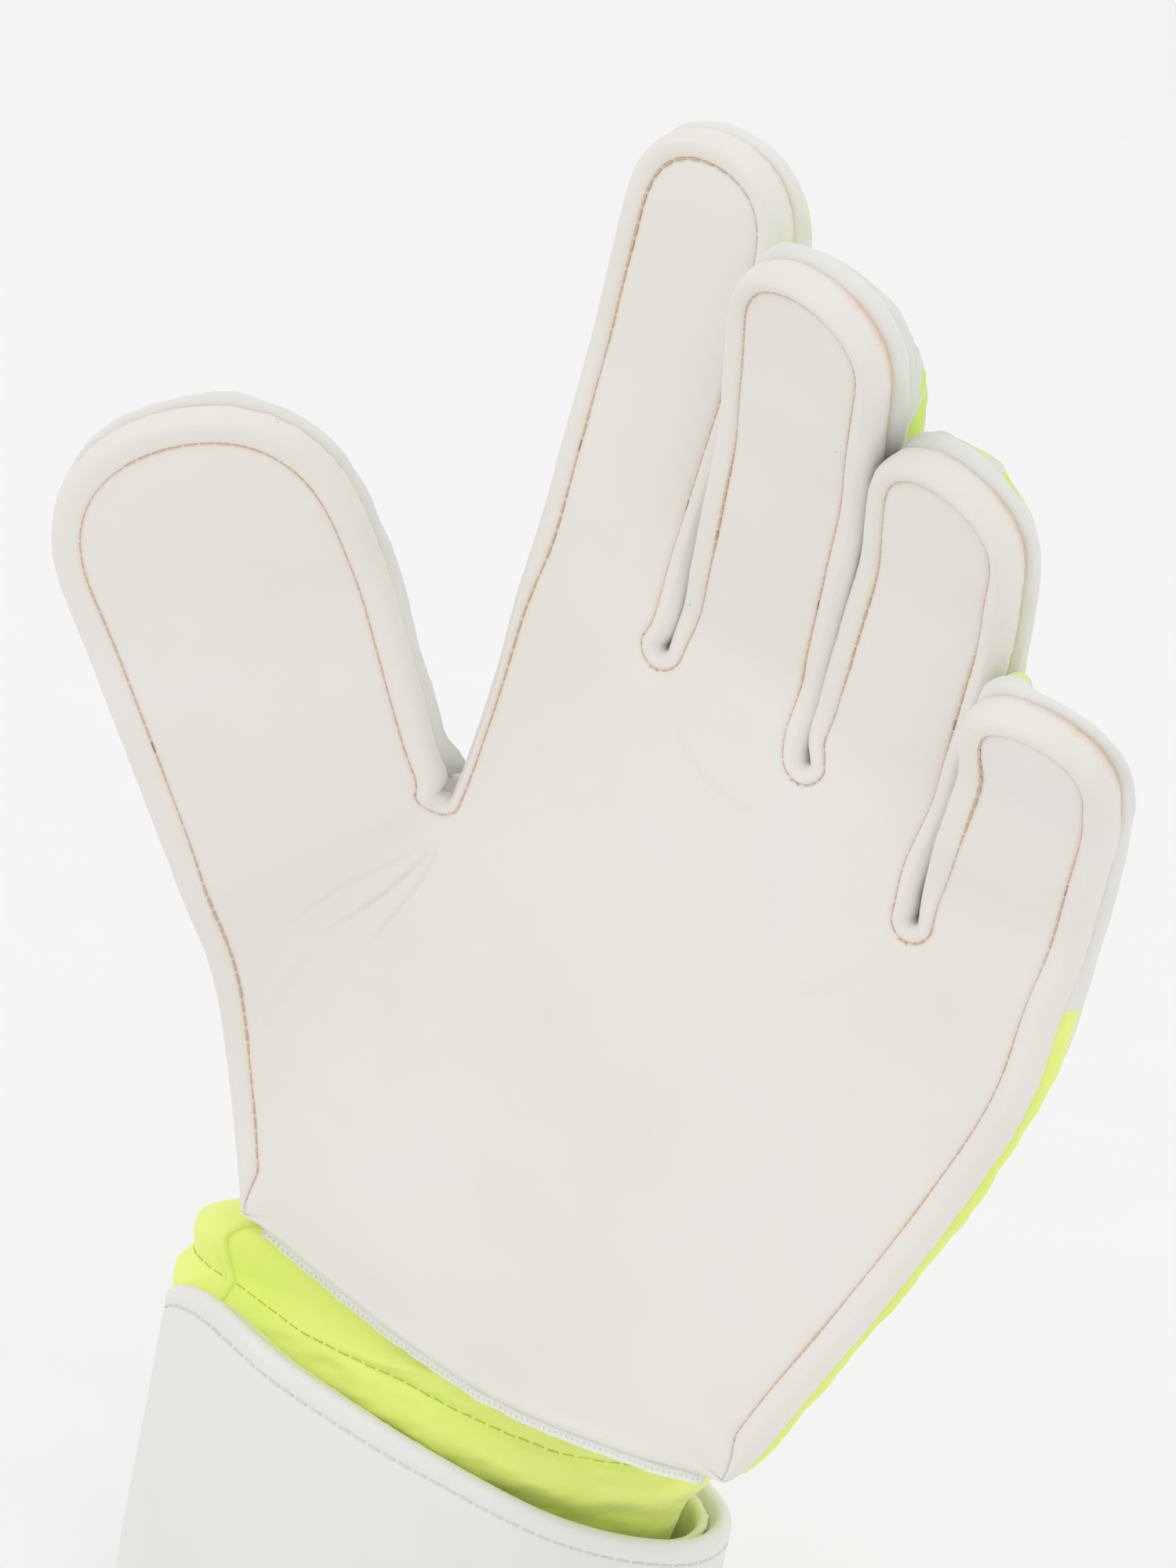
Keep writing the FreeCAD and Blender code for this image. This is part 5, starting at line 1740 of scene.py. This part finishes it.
@dataclass
class Wrist:
    """Sizes that the strap, its closure and the cuff share. Millimetres and degrees."""

    half_width: float = 51.5
    half_depth: float = 30.5
    turned: float = 20.0
    wall: float = 4.5
    lining: float = 1.5
    top_edge: tuple = ((6, 49.5), (60, 50.0), (110, 53.0), (150, 59.5), (175, 63.5), (188, 66.0), (200, 69.5),
                       (215, 72.0), (243, 68.0), (273, 61.3), (301, 54.0), (335, 50.0))

    def oval(self, angle: Array, grow: Array) -> Array:
        """Places on the strap's oval, grown outwards, as x and y."""
        x = (self.half_width + grow) * np.cos(angle)
        y = (self.half_depth + grow) * np.sin(angle)
        t = math.radians(self.turned)
        return np.stack([x * math.cos(t) - y * math.sin(t), x * math.sin(t) + y * math.cos(t)], -1)

    def top(self, angle: Array) -> Array:
        """Height of the strap's top edge at an angle of its oval."""
        turns = np.array([angle for angle, _ in self.top_edge], float)
        heights = np.array([height for _, height in self.top_edge])
        turns = np.concatenate([turns - 360, turns, turns + 360])
        slopes = np.gradient(np.tile(heights, 3), turns)
        degrees = np.degrees(angle) % 360
        n = np.clip(np.searchsorted(turns, degrees) - 1, 0, len(turns) - 2)
        span = turns[n + 1] - turns[n]
        t = (degrees - turns[n]) / span
        h0, h1 = np.tile(heights, 3)[n], np.tile(heights, 3)[n + 1]
        return ((2 * t ** 3 - 3 * t ** 2 + 1) * h0 + (t ** 3 - 2 * t ** 2 + t) * span * slopes[n]
                + (3 * t ** 2 - 2 * t ** 3) * h1 + (t ** 3 - t ** 2) * span * slopes[n + 1])

    def surface(self, angle: Array, grow: Array, height: Array) -> Array:
        """Places in space."""
        return np.concatenate([self.oval(angle, grow), np.asarray(height)[..., None]], -1)


@dataclass
class Strap:
    """The wrist strap: a padded ring with a stitched top hem, lined with plush."""

    wrist: Wrist
    steps: int = 300
    hem: float = 4.1
    hem_dip: float = 0.22
    rim: float = 1.5

    def _shift(self, angle: Array, height: Array) -> Array:
        """Slight unevenness of the padded ring."""
        spots = np.stack([np.cos(angle) * 50, np.sin(angle) * 50, height + 0 * angle], -1).reshape(-1, 3)
        return (0.45 * wander(spots, 34.0, 6.6)).reshape(np.shape(angle))

    def build(self, skin: Material, plush: Material, thread: Material,
              stitcher: Stitcher) -> dict[str, Object]:
        """Make the ring, its lining and its hem stitches.

        Args:
            skin: Finish of the outside.
            plush: Finish of the lining.
            thread: Finish of the stitches.
            stitcher: Makes the stitches.

        Returns:
            The pieces by name.
        """
        wrist = self.wrist
        angles = np.linspace(0, 2 * np.pi, self.steps, endpoint=False)
        top = wrist.top(angles)
        outer = [(-1.1, 0.0), (-0.35, 0.25), (0.0, 1.1)] + [(0.0, None)] * 9
        rows = []
        for place, height in outer[:3]:
            rows.append((np.full(self.steps, place), np.full(self.steps, height)))
        for share in np.linspace(0.06, 0.94, 9):
            rows.append((0.25 * np.sin(np.pi * share) + 0 * top, 1.1 + (top - self.hem - 2.3) * share))
        for place, down in ((0.05, 1.0), (-0.08, 0.55), (-self.hem_dip * 0.7, 0.2), (-self.hem_dip, 0.0),
                            (-self.hem_dip * 0.7, -0.2), (-0.05, -0.55), (0.06, -1.0), (0.1, -1.7)):
            rows.append((place + 0 * top, top - self.hem - down))
        for turned in np.radians(np.linspace(0, 180, 9)):
            rows.append((-self.rim + self.rim * math.cos(turned) + 0 * top,
                         top - self.rim + self.rim * math.sin(turned)))
        rows.append((-wrist.wall + 0.9 + 0 * top, top - 2.4))
        rows.append((-wrist.wall + 0 * top, top - 3.4))
        for share in (0.7, 0.4, 0.1):
            rows.append((-wrist.wall + 0 * top, top * share))
        rows.append((-wrist.wall + 0.3 + 0 * top, 0 * top))
        grow = np.stack([r[0] for r in rows], 1)
        height = np.stack([r[1] for r in rows], 1)
        grid = np.repeat(angles[:, None], grow.shape[1], 1)
        calm = smooth(height / 12.0)
        grow = grow + self._shift(grid, height) * calm * 0.8
        points = wrist.surface(grid, grow, height)
        uv = np.stack([grid * 42.0, height], -1)
        ring = ring_piece("strap_band", points, True, uv)
        made = {"strap_band": to_object(ring, None, [skin])}

        rows = [(-wrist.wall - 0.05, 2.6), (-wrist.wall - 0.05, None), (-wrist.wall + 0.5, -1.2),
                (-wrist.wall + 0.45, -0.75),
                (-wrist.wall + 0.0, -0.5), (-wrist.wall - 0.6, -0.6), (-wrist.wall - 1.3, -1.2),
                (-wrist.wall - 1.5, -2.4)]
        inner_low = [(-wrist.wall - 1.5, share) for share in (0.75, 0.5, 0.25)]
        grow, height = [], []
        for place, value in rows:
            grow.append(place + 0 * top)
            height.append(top - 3.2 if value is None else (0 * top + value if value > 2
                                                           else top - 1.0 + value))
        for place, share in inner_low:
            grow.append(place + 0 * top)
            height.append(2 + (top - 4) * share)
        grow.append(-wrist.wall - 1.3 + 0 * top)
        height.append(2.0 + 0 * top)
        grow, height = np.stack(grow, 1), np.stack(height, 1)
        grid = np.repeat(angles[:, None], grow.shape[1], 1)
        spots = np.stack([grid.ravel() * 40, height.ravel()], 1)
        nap = wander(spots, 1.6, 9.4).reshape(grid.shape)
        points = wrist.surface(grid, grow + 0.25 * nap + self._shift(grid, height) * smooth(height / 12.0)
                               * 0.8,
                               height + 0.3 * nap * (height > 20))
        lining = ring_piece("strap_plush_lining", points, True, np.stack([grid * 40.0, height], -1))
        made["strap_plush_lining"] = to_object(lining, None, [plush])

        closed = np.append(angles, angles[0])
        line_top = wrist.top(closed) - self.hem
        shift = self._shift(closed, line_top) * 0.8
        line = wrist.surface(closed, -self.hem_dip + 0.12 + shift, line_top)
        made["strap_hem_stitches"] = stitcher.run("strap_hem_stitches", [line], thread, 2.9, 2.1, 0.17)
        return made


@dataclass
class Closure:
    """The strap's tail with its hook tape, the loop patch below it and the moulded pull."""

    wrist: Wrist
    patch: tuple = (140.0, 56.0, 12.0, 42.0)
    hook: tuple = (134.0, 68.0, 13.0, 41.0)
    tail: tuple = (152.0, 68.0, 8.0, 46.0)
    grip: tuple = (69.5, 60.5, 10.0, 44.0)
    gap: float = 0.4
    thick: float = 1.0
    tail_thick: float = 3.0

    def strip(self, name: str, spans: tuple, low: Callable[[Array], Array], high: Callable[[Array], Array],
              edge: float, materials: Sequence[Material], corner: float = 4.0, step: float = 1.0) -> Object:
        """A strip that lies round the oval, with rounded edges and corners.

        Args:
            name: The piece's name.
            spans: First and last angle in degrees, lowest and highest height.
            low: Inner growth of the oval at a share along the strip.
            high: Outer growth at a share along the strip.
            edge: Radius of its rounded edges.
            materials: Its finish.
            corner: Radius of its corners in outline.
            step: Degrees between rows.

        Returns:
            The piece.
        """
        first, last, bottom, top = spans
        count = int(abs(last - first) / step) + 2
        along = np.unique(np.concatenate([np.linspace(0, 1, count), np.linspace(0, 0.06, 7),
                                          np.linspace(0.94, 1, 9)]))
        angles = np.radians(first + (last - first) * along)
        length = np.linalg.norm(np.diff(self.wrist.oval(angles, 2.0), axis=0), axis=1)
        run = np.concatenate([[0], np.cumsum(length)])
        left = np.minimum(run, run[-1] - run)
        nip = corner - np.sqrt(np.clip(corner ** 2 - np.clip(corner - left, 0, corner) ** 2, 0, None))
        squash_end = np.sqrt(np.clip(1 - np.clip(1 - left / edge, 0, 1) ** 2, 0.02, 1))
        z0, z1 = bottom + nip, top - nip
        g0, g1 = low(along), high(along)
        middle, half = (g0 + g1) / 2, (g1 - g0) / 2 * squash_end
        grow, height = [], []
        corner_angles = np.radians(np.linspace(0, 90, 5))
        radius = np.minimum(edge, half)
        for z, sign, rise in ((z0, -1, 1), (z1, 1, 1), (z1, 1, -1), (z0, -1, -1)):
            order = corner_angles if (sign * rise) < 0 else corner_angles
            for a in order:
                if (sign, rise) == (-1, 1):
                    up, out = -math.cos(a), math.sin(a)
                elif (sign, rise) == (1, 1):
                    up, out = math.sin(a), math.cos(a)
                elif (sign, rise) == (1, -1):
                    up, out = math.cos(a), -math.sin(a)
                else:
                    up, out = -math.sin(a), -math.cos(a)
                height.append(z - sign * radius + up * radius)
                grow.append(middle + (half - radius) * rise + out * radius)
            if (sign, rise) == (-1, 1):
                for share in (0.2, 0.4, 0.6, 0.8):
                    height.append(z0 + (z1 - z0) * share)
                    grow.append(middle + half)
            if (sign, rise) == (1, -1):
                for share in (0.8, 0.6, 0.4, 0.2):
                    height.append(z0 + (z1 - z0) * share)
                    grow.append(middle - half)
        grow, height = np.stack(grow, 1), np.stack(height, 1)
        grid = np.repeat(angles[:, None], grow.shape[1], 1)
        points = self.wrist.surface(grid, grow, height)
        uv = np.stack([np.repeat(run[:, None], grow.shape[1], 1), height], -1)
        piece = ring_piece(name, points, False, uv)
        if last < first:
            piece.faces = [f[::-1] for f in piece.faces]
        return to_object(piece, None, materials)

    def build(self, skin: Material, loop: Material, hook: Material,
              grip: Material, thread: Material, stitcher: Stitcher) -> dict[str, Object]:
        """Make the closure's pieces.

        Args:
            skin: Finish of the tail.
            loop: Finish of the loop patch.
            hook: Finish of the hook tape.
            grip: Finish of the pull.
            thread: Finish of the stitches.
            stitcher: Makes the stitches.

        Returns:
            The pieces by name.
        """
        thick, gap = self.thick, self.gap
        tail_low = 2 * thick + gap
        tail_high = tail_low + self.tail_thick
        made = {}
        made["loop_pile_patch"] = self.strip("loop_pile_patch", self.patch, lambda t: 0.0 * t - 0.4,
                                             lambda t: 0.0 * t + thick, 0.45, [loop])
        made["hook_tape"] = self.strip("hook_tape", self.hook, lambda t: 0.0 * t + thick + gap,
                                       lambda t: 0.0 * t + tail_low, 0.3, [hook], corner=3.0)

        def ease(t: Array) -> Array:
            """1 where the tail has left the strap."""
            return smooth(t / 0.10)

        made["tail_band"] = self.strip("tail_band", (self.tail[0] + 3.5, self.tail[1], self.tail[2],
                                                     self.tail[3]),
                                       lambda t: -1.2 + (tail_low + 1.2) * ease(t),
                                       lambda t: 0.5 + (tail_high - 0.5) * ease(t), 1.2, [skin], corner=3.0)
        made["tail_pull"] = self.strip("tail_pull", self.grip, lambda t: 0.0 * t + tail_low,
                                       lambda t: tail_low + 2.9 - 0.9 * smooth((t - 0.2) / 0.6) + 0.35
                                       * np.cos(t * 40.0),
                                       0.8, [grip], corner=7.0, step=0.25)
        first, last, low, high = self.tail
        inner = np.radians(np.linspace(first - 10, last + 3.5, 120))
        lines = []
        for z in (low + 2.2, high - 2.2):
            lines.append(self.wrist.surface(inner, tail_high + 0.02, np.full(len(inner), z)))
        rise = np.linspace(low + 2.2, high - 2.2, 30)
        for a in (inner[0], inner[-1]):
            lines.append(self.wrist.surface(np.full(30, a), tail_high + 0.02, rise))
        made["tail_stitches"] = stitcher.run("tail_stitches", lines, thread, 2.9, 2.1, 0.17)
        return made


@dataclass
class Cuff:
    """The knitted bandage from inside the strap up under the heel of the hand."""

    wrist: Wrist
    steps: int = 320
    wall: float = 1.5
    low: tuple = (6.0, 43.0, 22.5, 0.0, 0.0, 20.0)
    middle: tuple = (50.0, 41.5, 21.5, 1.5, 0.0, 20.0)
    high: tuple = (84.0, 48.0, 17.0, 12.0, -1.5, 8.0)
    top_z: float = 84.0

    def surface(self, angle: Array, height: Array, grow: Array) -> Array:
        """Places on the cuff: an oval at each height, eased between three set ones."""
        def oval(spec: tuple) -> tuple[Array, Array]:
            """One set oval."""
            _, a, b, cx, cy, turned = spec
            t = math.radians(turned)
            own = angle - t
            x, y = (a + grow) * np.cos(own), (b + grow) * np.sin(own)
            return cx + x * math.cos(t) - y * math.sin(t), cy + x * math.sin(t) + y * math.cos(t)

        z0, z1, z2 = self.low[0], self.middle[0], self.high[0]
        parts = [oval(spec) for spec in (self.low, self.middle, self.high)]
        u = (height - z0) / (z2 - z0)
        m = (z1 - z0) / (z2 - z0)
        w0 = (u - m) * (u - 1) / (m * 1.0)
        w1 = u * (u - 1) / (m * (m - 1))
        w2 = u * (u - m) / (1 - m)
        x = w0 * parts[0][0] + w1 * parts[1][0] + w2 * parts[2][0]
        y = w0 * parts[0][1] + w1 * parts[1][1] + w2 * parts[2][1]
        front = -26.0 + 7.2 * smooth((height - 66.0) / 8.0)
        held = np.maximum(y, front + 1.2 * np.tanh((y - front) / 3.0) - 1.0)
        y = y + (held - y) * smooth((x + 46.0) / 14.0)
        return np.stack([x, y, height + 0 * x], -1)

    def seam_height(self, angle: Array) -> Array:
        """Height of the seam that runs round the cuff."""
        x = self.surface(angle, np.full(np.shape(angle), 66.0), 0.0)[..., 0]
        return 67.5 - 0.085 * x + 1.2 * np.sin(angle * 3 + 0.6) + 4.0 * smooth((-x - 14.0) / 26.0)

    def puff(self, angle: Array, height: Array) -> Array:
        """How far the knit stands out: two rolls with the seam between them, and folds."""
        seam = self.seam_height(angle)
        gap = height - seam
        roll = 2.3 * np.exp(-((gap + 5.5) / 3.8) ** 2) + 1.6 * np.exp(-((gap - 5.0)
            / 4.0) ** 2) - 0.8 * np.exp(-(gap / 0.8) ** 2)
        spots = np.stack([np.cos(angle) * 45, np.sin(angle) * 45, height * 2.2], -1).reshape(-1, 3)
        folds = wander(spots, 15.0, 44.0).reshape(np.shape(angle)) + 0.4 * wander(spots, 6.5,
            4.0).reshape(np.shape(angle))
        off = (np.degrees(angle) % 360 - 204.0) / 34.0
        notch = 3.0 * smooth((height - 78.0) / 5.0)
        side = np.exp(-off ** 2) * (11.0 * smooth((height - 54.0) / 12.0) - notch)
        turned_in = -12.0 * smooth((height - 78.0) / 8.0) ** 2
        return (roll + 0.9 * folds) * smooth((height - 44) / 10.0) + side + turned_in

    def build(self, knit: Material, piping: Material, thread: Material,
              stitcher: Stitcher) -> dict[str, Object]:
        """Make the tube, its lower hem, the side piping and the seam's stitches.

        Args:
            knit: Finish of the tube.
            piping: Finish of the side seam.
            thread: Finish of the stitches.
            stitcher: Makes the stitches.

        Returns:
            The pieces by name.
        """
        angles = np.linspace(0, 2 * np.pi, self.steps, endpoint=False)
        heights = np.concatenate([np.linspace(6.0, 44.0, 20), np.linspace(45.0, self.top_z, 78)])
        grid, z = np.meshgrid(angles, heights, indexing="ij")
        puff = self.puff(grid, z)
        outer = self.surface(grid, z, puff)
        inner = self.surface(grid, z, puff - self.wall)
        points = np.concatenate([outer, inner[:, ::-1]], 1)
        uv = np.concatenate([np.stack([grid * 38.0, z], -1), np.stack([grid * 38.0, z], -1)[:, ::-1]], 1)
        made = {"cuff_tube": to_object(ring_piece("cuff_tube", points, True, uv), None, [knit])}

        rows = []
        for k in range(12):
            a = 2 * math.pi * k / 12
            rows.append(self.surface(angles, 8.5 + 2.4 * math.sin(a) + 0 * angles, 0.95 + 0.5 * math.cos(a)))
        rows = np.stack(rows[::-1], 1)
        hem = ring_piece("cuff_lower_hem", rows, True, np.zeros(rows.shape[:2] + (2,)))
        hem.faces = [f[::-1] for f in hem.faces]
        made["cuff_lower_hem"] = to_object(hem, None, [knit])

        side = math.radians(228)
        up = np.linspace(40, 83.0, 60)
        lean = side - (up - 66) * 0.0131
        path = self.surface(lean, up, self.puff(lean, up) + 0.5)
        made["cuff_side_piping"] = tube_piece("cuff_side_piping", path, 0.85, 10, [piping])
        around = np.linspace(0, 2 * np.pi, 500)
        seam = self.seam_height(around)
        line = self.surface(around, seam, self.puff(around, seam) + 0.15)
        made["cuff_seam_stitches"] = stitcher.run("cuff_seam_stitches", [line], thread, 2.6, 1.9, 0.12)
        return made


def tube_piece(name: str, path: Array, radius: float, sides: int, materials: Sequence[Material]) -> Object:
    """A round tube along a line, with closed ends.

    Args:
        name: The piece's name.
        path: Rows of points in millimetres.
        radius: The tube's radius.
        sides: Points round it.
        materials: Its finish.

    Returns:
        The piece.
    """
    tangent = unit(np.gradient(path, axis=0))
    side = unit(np.cross(tangent, np.array([0.02, 0.03, 1.0]) if abs(tangent[0, 2]) < 0.9
                         else np.array([1.0, 0.1, 0.0])))
    other = np.cross(tangent, side)
    angles = np.linspace(0, 2 * np.pi, sides, endpoint=False)
    rows = path[:, None] + radius * (side[:, None] * np.cos(angles)[None, :, None]
                                     + other[:, None] * np.sin(angles)[None, :, None])
    run = np.concatenate([[0], np.cumsum(np.linalg.norm(np.diff(path, axis=0), axis=1))])
    uv = np.stack(np.meshgrid(run, angles, indexing="ij"), -1)
    piece = ring_piece(name, rows, False, uv)
    piece.faces = [f[::-1] for f in piece.faces]
    return to_object(piece, None, materials)


# ---------------------------------------------------------------- studio

@dataclass
class Studio:
    """Floor, soft light and the camera. Millimetres and degrees."""

    target: tuple = (2.0, 0.6, 170.5)
    azimuth: float = 30.0
    elevation: float = 18.0
    roll: float = 11.5
    distance: float = 950.0
    lens: float = 133.2

    def build(self, floor: Material) -> None:
        """Place everything.

        Args:
            floor: Finish of the floor.
        """
        scene = bpy.context.scene
        scene.view_settings.view_transform = "Standard"
        a, e, r = (math.radians(v) for v in (self.azimuth, self.elevation, self.roll))
        back = Vector((math.sin(a) * math.cos(e), -math.cos(a) * math.cos(e), math.sin(e)))
        side = (-back).cross(Vector((0, 0, 1))).normalized()
        up = side.cross(-back)
        across = side * math.cos(r) + up * math.sin(r)
        above = -side * math.sin(r) + up * math.cos(r)
        data = bpy.data.cameras.new("Camera")
        data.lens = self.lens
        data.sensor_width = 36.0
        camera = bpy.data.objects.new("Camera", data)
        scene.collection.objects.link(camera)
        matrix = camera.matrix_world.copy()
        for row in range(3):
            matrix[row][0], matrix[row][1], matrix[row][2] = across[row], above[row], back[row]
            matrix[row][3] = (self.target[row] + self.distance * back[row]) * MM
        camera.matrix_world = matrix
        scene.camera = camera

        mesh = bpy.data.meshes.new("floor")
        mesh.from_pydata([(-8, -8, 0), (8, -8, 0), (8, 8, 0), (-8, 8, 0)], [], [(0, 1, 2, 3)])
        mesh.materials.append(floor)
        ground = bpy.data.objects.new("floor", mesh)
        scene.collection.objects.link(ground)

        world = bpy.data.worlds.new("Studio")
        world.use_nodes = True
        world.node_tree.nodes["Background"].inputs[0].default_value = (1.0, 1.0, 1.0, 1.0)
        world.node_tree.nodes["Background"].inputs[1].default_value = 0.93
        scene.world = world
        for name, spot, size, power in (("Key", (-1.5, -1.8, 2.2), 2.0, 10.0),
                                        ("Fill", (1.9, -1.4, 1.4), 2.0, 5.0),
                                        ("Back", (0.2, 2.2, 2.0), 2.0, 3.0)):
            light = bpy.data.lights.new(name, "AREA")
            light.size = size
            light.energy = power
            lamp = bpy.data.objects.new(name, light)
            lamp.location = spot
            lamp.rotation_euler = (Vector((0.0, 0.0, 0.15)) - Vector(spot)).to_track_quat("-Z",
                "Y").to_euler()
            scene.collection.objects.link(lamp)


# ---------------------------------------------------------------- putting it together

def mesh_area(obj: Object) -> float:
    """Area of a mesh in square metres."""
    return sum(face.area for face in obj.data.polygons)


CUT_SHARE = 0.98  # share of its flat rectangle that a cut piece of cloth fills
LEAST_WIDTH = 0.0105  # least width worked out for a strip, in metres
RING_WIDTHS = {"strap_plush_lining": 0.054, "loop_pile_patch": 0.031, "cuff_tube": 0.080}  # in metres
HEM_LENGTH = 0.213  # flat length of the cuff's lower hem, in metres


def declare_cloth(obj: Object, width: float = 0.0, length: float = 0.0) -> None:
    """Work out the flat size of a thin piece from its mesh's area and one of the two sizes; the result is not
    kept.

    Args:
        obj: The piece.
        width: Width of its flat cut in metres.
        length: Length of its flat cut in metres.
    """
    area = mesh_area(obj) / 2
    if width:
        length = area / width / CUT_SHARE
    else:
        width = max(LEAST_WIDTH, area / length / CUT_SHARE)


def main() -> None:
    """Build the glove, dress it, fix its palm and wrist pieces to bodies of the frame, bake the digits'
    pieces and the strap's tail in place, and set up the studio.
    """
    groups = Groups()
    stitcher = Stitcher()
    latex, gusset, back, lining, piping = (f.build(groups) for f in (LATEX, GUSSET, BACK, LINING, PIPING))
    hand = Hand(palm_y=-26.0)
    digits = {d.name: d for d in (
        Digit("index", 3, 6, -1, 39.3, 14.2, 15.2, 13.9, 13.8, 10, 4.0, 4.0, 4.2),
        Digit("middle", 23, 9, 0, 40.3, 13.8, 14.2, 13.9, 13.8, 10, 4.2, 4.3, 3.4),
        Digit("ring", 21, 12, 0, 29.2, 14.6, 14.3, 13.0, 12.6, 9, 4.2, 4.1, 3.4),
        Digit("little", 22, 19, 6, 22.8, 16.4, 14.2, 10.6, 11.4, 8, 4.4, 4.7, 4.0, thickness=19.0),
        Digit("thumb", 0, 4, 0, 37, 25.5, 25.5, 22.5, 25.0, 12, 5.2, 4.7, 4.9, thickness=24.0,
              tip_taper=12.0, taper_run=42.0),
    )}
    glove = Glove(hand, digits)
    LOG.info("outline has %d points", len(glove.outline.points))
    foam = PalmFoam(glove)
    foams = foam.build(latex)
    shells = BackShell(glove).build(back, lining, foam.scale)
    strips = Gussets(glove).build(gusset, piping, foam.scale)
    thread = THREAD_TAN.build(groups)
    for region, piece in foams.items():
        stitches = stitcher.run(f"{region}_groove_stitches", foam.groove_lines(region), thread, 2.6, 1.9,
                                0.16)
        if region == PALM:
            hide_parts("palm_pad", "palm_lining")
        else:
            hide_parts(f"{region}_pad")
        hang(glove, piece, region)
        hang(glove, stitches, region)
        LOG.info("%s: %d faces", piece.name, len(piece.data.polygons))
    pale = THREAD_PALE.build(groups)
    trim = tube_piece("heel_trim", foam.heel_line(), 1.25, 12, [pale])
    overlock = stitcher.run("heel_overlock", [foam.heel_line() + (0.0, -1.05, 0.0)], pale, 1.1, 2.3, 0.2,
                            tilt=62.0)
    for piece in (trim, overlock):
        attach(piece, "hand")
    for region, piece in shells.items():
        if region == PALM:
            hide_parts("back_panel", "thenar_back", "back_lining")
        else:
            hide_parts(f"{region}_back")
        hang(glove, piece, region)
        LOG.info("%s: %d faces", piece.name, len(piece.data.polygons))
    stand_ins = {"palm": ["ulnar_gusset", "radial_gusset", "web_gusset"]}
    for name in digits:
        stand_ins[f"{name}_proximal"] = [f"{name}_proximal_radial_gusset", f"{name}_proximal_ulnar_gusset"]
        stand_ins[f"{name}_distal"] = [f"{name}_distal_gusset"]
    for piece, region, length in strips:
        declare_cloth(piece, length=length)
        nodes = stand_ins.pop(region, [])
        if nodes:
            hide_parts(*nodes)
        hang(glove, piece, region)
        LOG.info("%s: %d faces", piece.name, len(piece.data.polygons))

    wrist = Wrist()
    skin, plush, knit = (f.build(groups) for f in (SKIN, PLUSH, CUFF))
    loop, hook, grip = (f.build(groups) for f in (LOOP, HOOK, GRIP))
    white, neon = THREAD_WHITE.build(groups), THREAD_NEON.build(groups)
    strap = Strap(wrist).build(skin, plush, white, stitcher)
    closure = Closure(wrist).build(skin, loop, hook, grip, white, stitcher)
    cuff = Cuff(wrist).build(knit, piping, neon, stitcher)
    plan = {
        "strap_band": ("strap_skin", ["strap_wrap"], "hand"),
        "strap_plush_lining": ("strap_plush", ["strap_lining"], "hand"),
        "strap_hem_stitches": ("strap_skin", [], "hand"),
        "loop_pile_patch": ("loop_fabric", ["loop_patch"], "hand"),
        "hook_tape": ("hook_plastic", ["hook_patch"], "strap_tail_flap"),
        "tail_band": ("strap_skin", ["strap_tail"], "blend"),
        "tail_pull": ("grip_rubber", ["tail_grip"], "strap_tail_flap"),
        "tail_stitches": ("strap_skin", [], "strap_tail_flap"),
        "cuff_tube": ("cuff_knit", ["cuff_bandage"], "hand"),
        "cuff_lower_hem": ("cuff_knit", ["cuff_hem"], "hand"),
        "cuff_side_piping": ("cuff_knit", [], "hand"),
        "cuff_seam_stitches": ("cuff_knit", [], "hand"),
    }
    pieces = {**strap, **closure, **cuff}
    for name, width in RING_WIDTHS.items():
        declare_cloth(pieces[name], width=width)
    declare_cloth(pieces["cuff_lower_hem"], length=HEM_LENGTH)
    peel = {joint["name"]: joint for joint in frame["joints"]}["strap_tail_peel"]
    pivot = np.array(peel["pos_m"]) / MM
    for name, (slot, nodes, body) in plan.items():
        piece = pieces[name]
        if nodes:
            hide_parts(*nodes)
        if body == "blend":
            ahead = wrist.oval(np.radians(146.0), 2.0) - wrist.oval(np.radians(152.0), 2.0)
            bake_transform(piece)
        else:
            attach(piece, body)
        LOG.info("%s: %d faces", name, len(piece.data.polygons))
    Studio().build(FLOOR.build(groups))


if __name__ == "__main__":
    main()
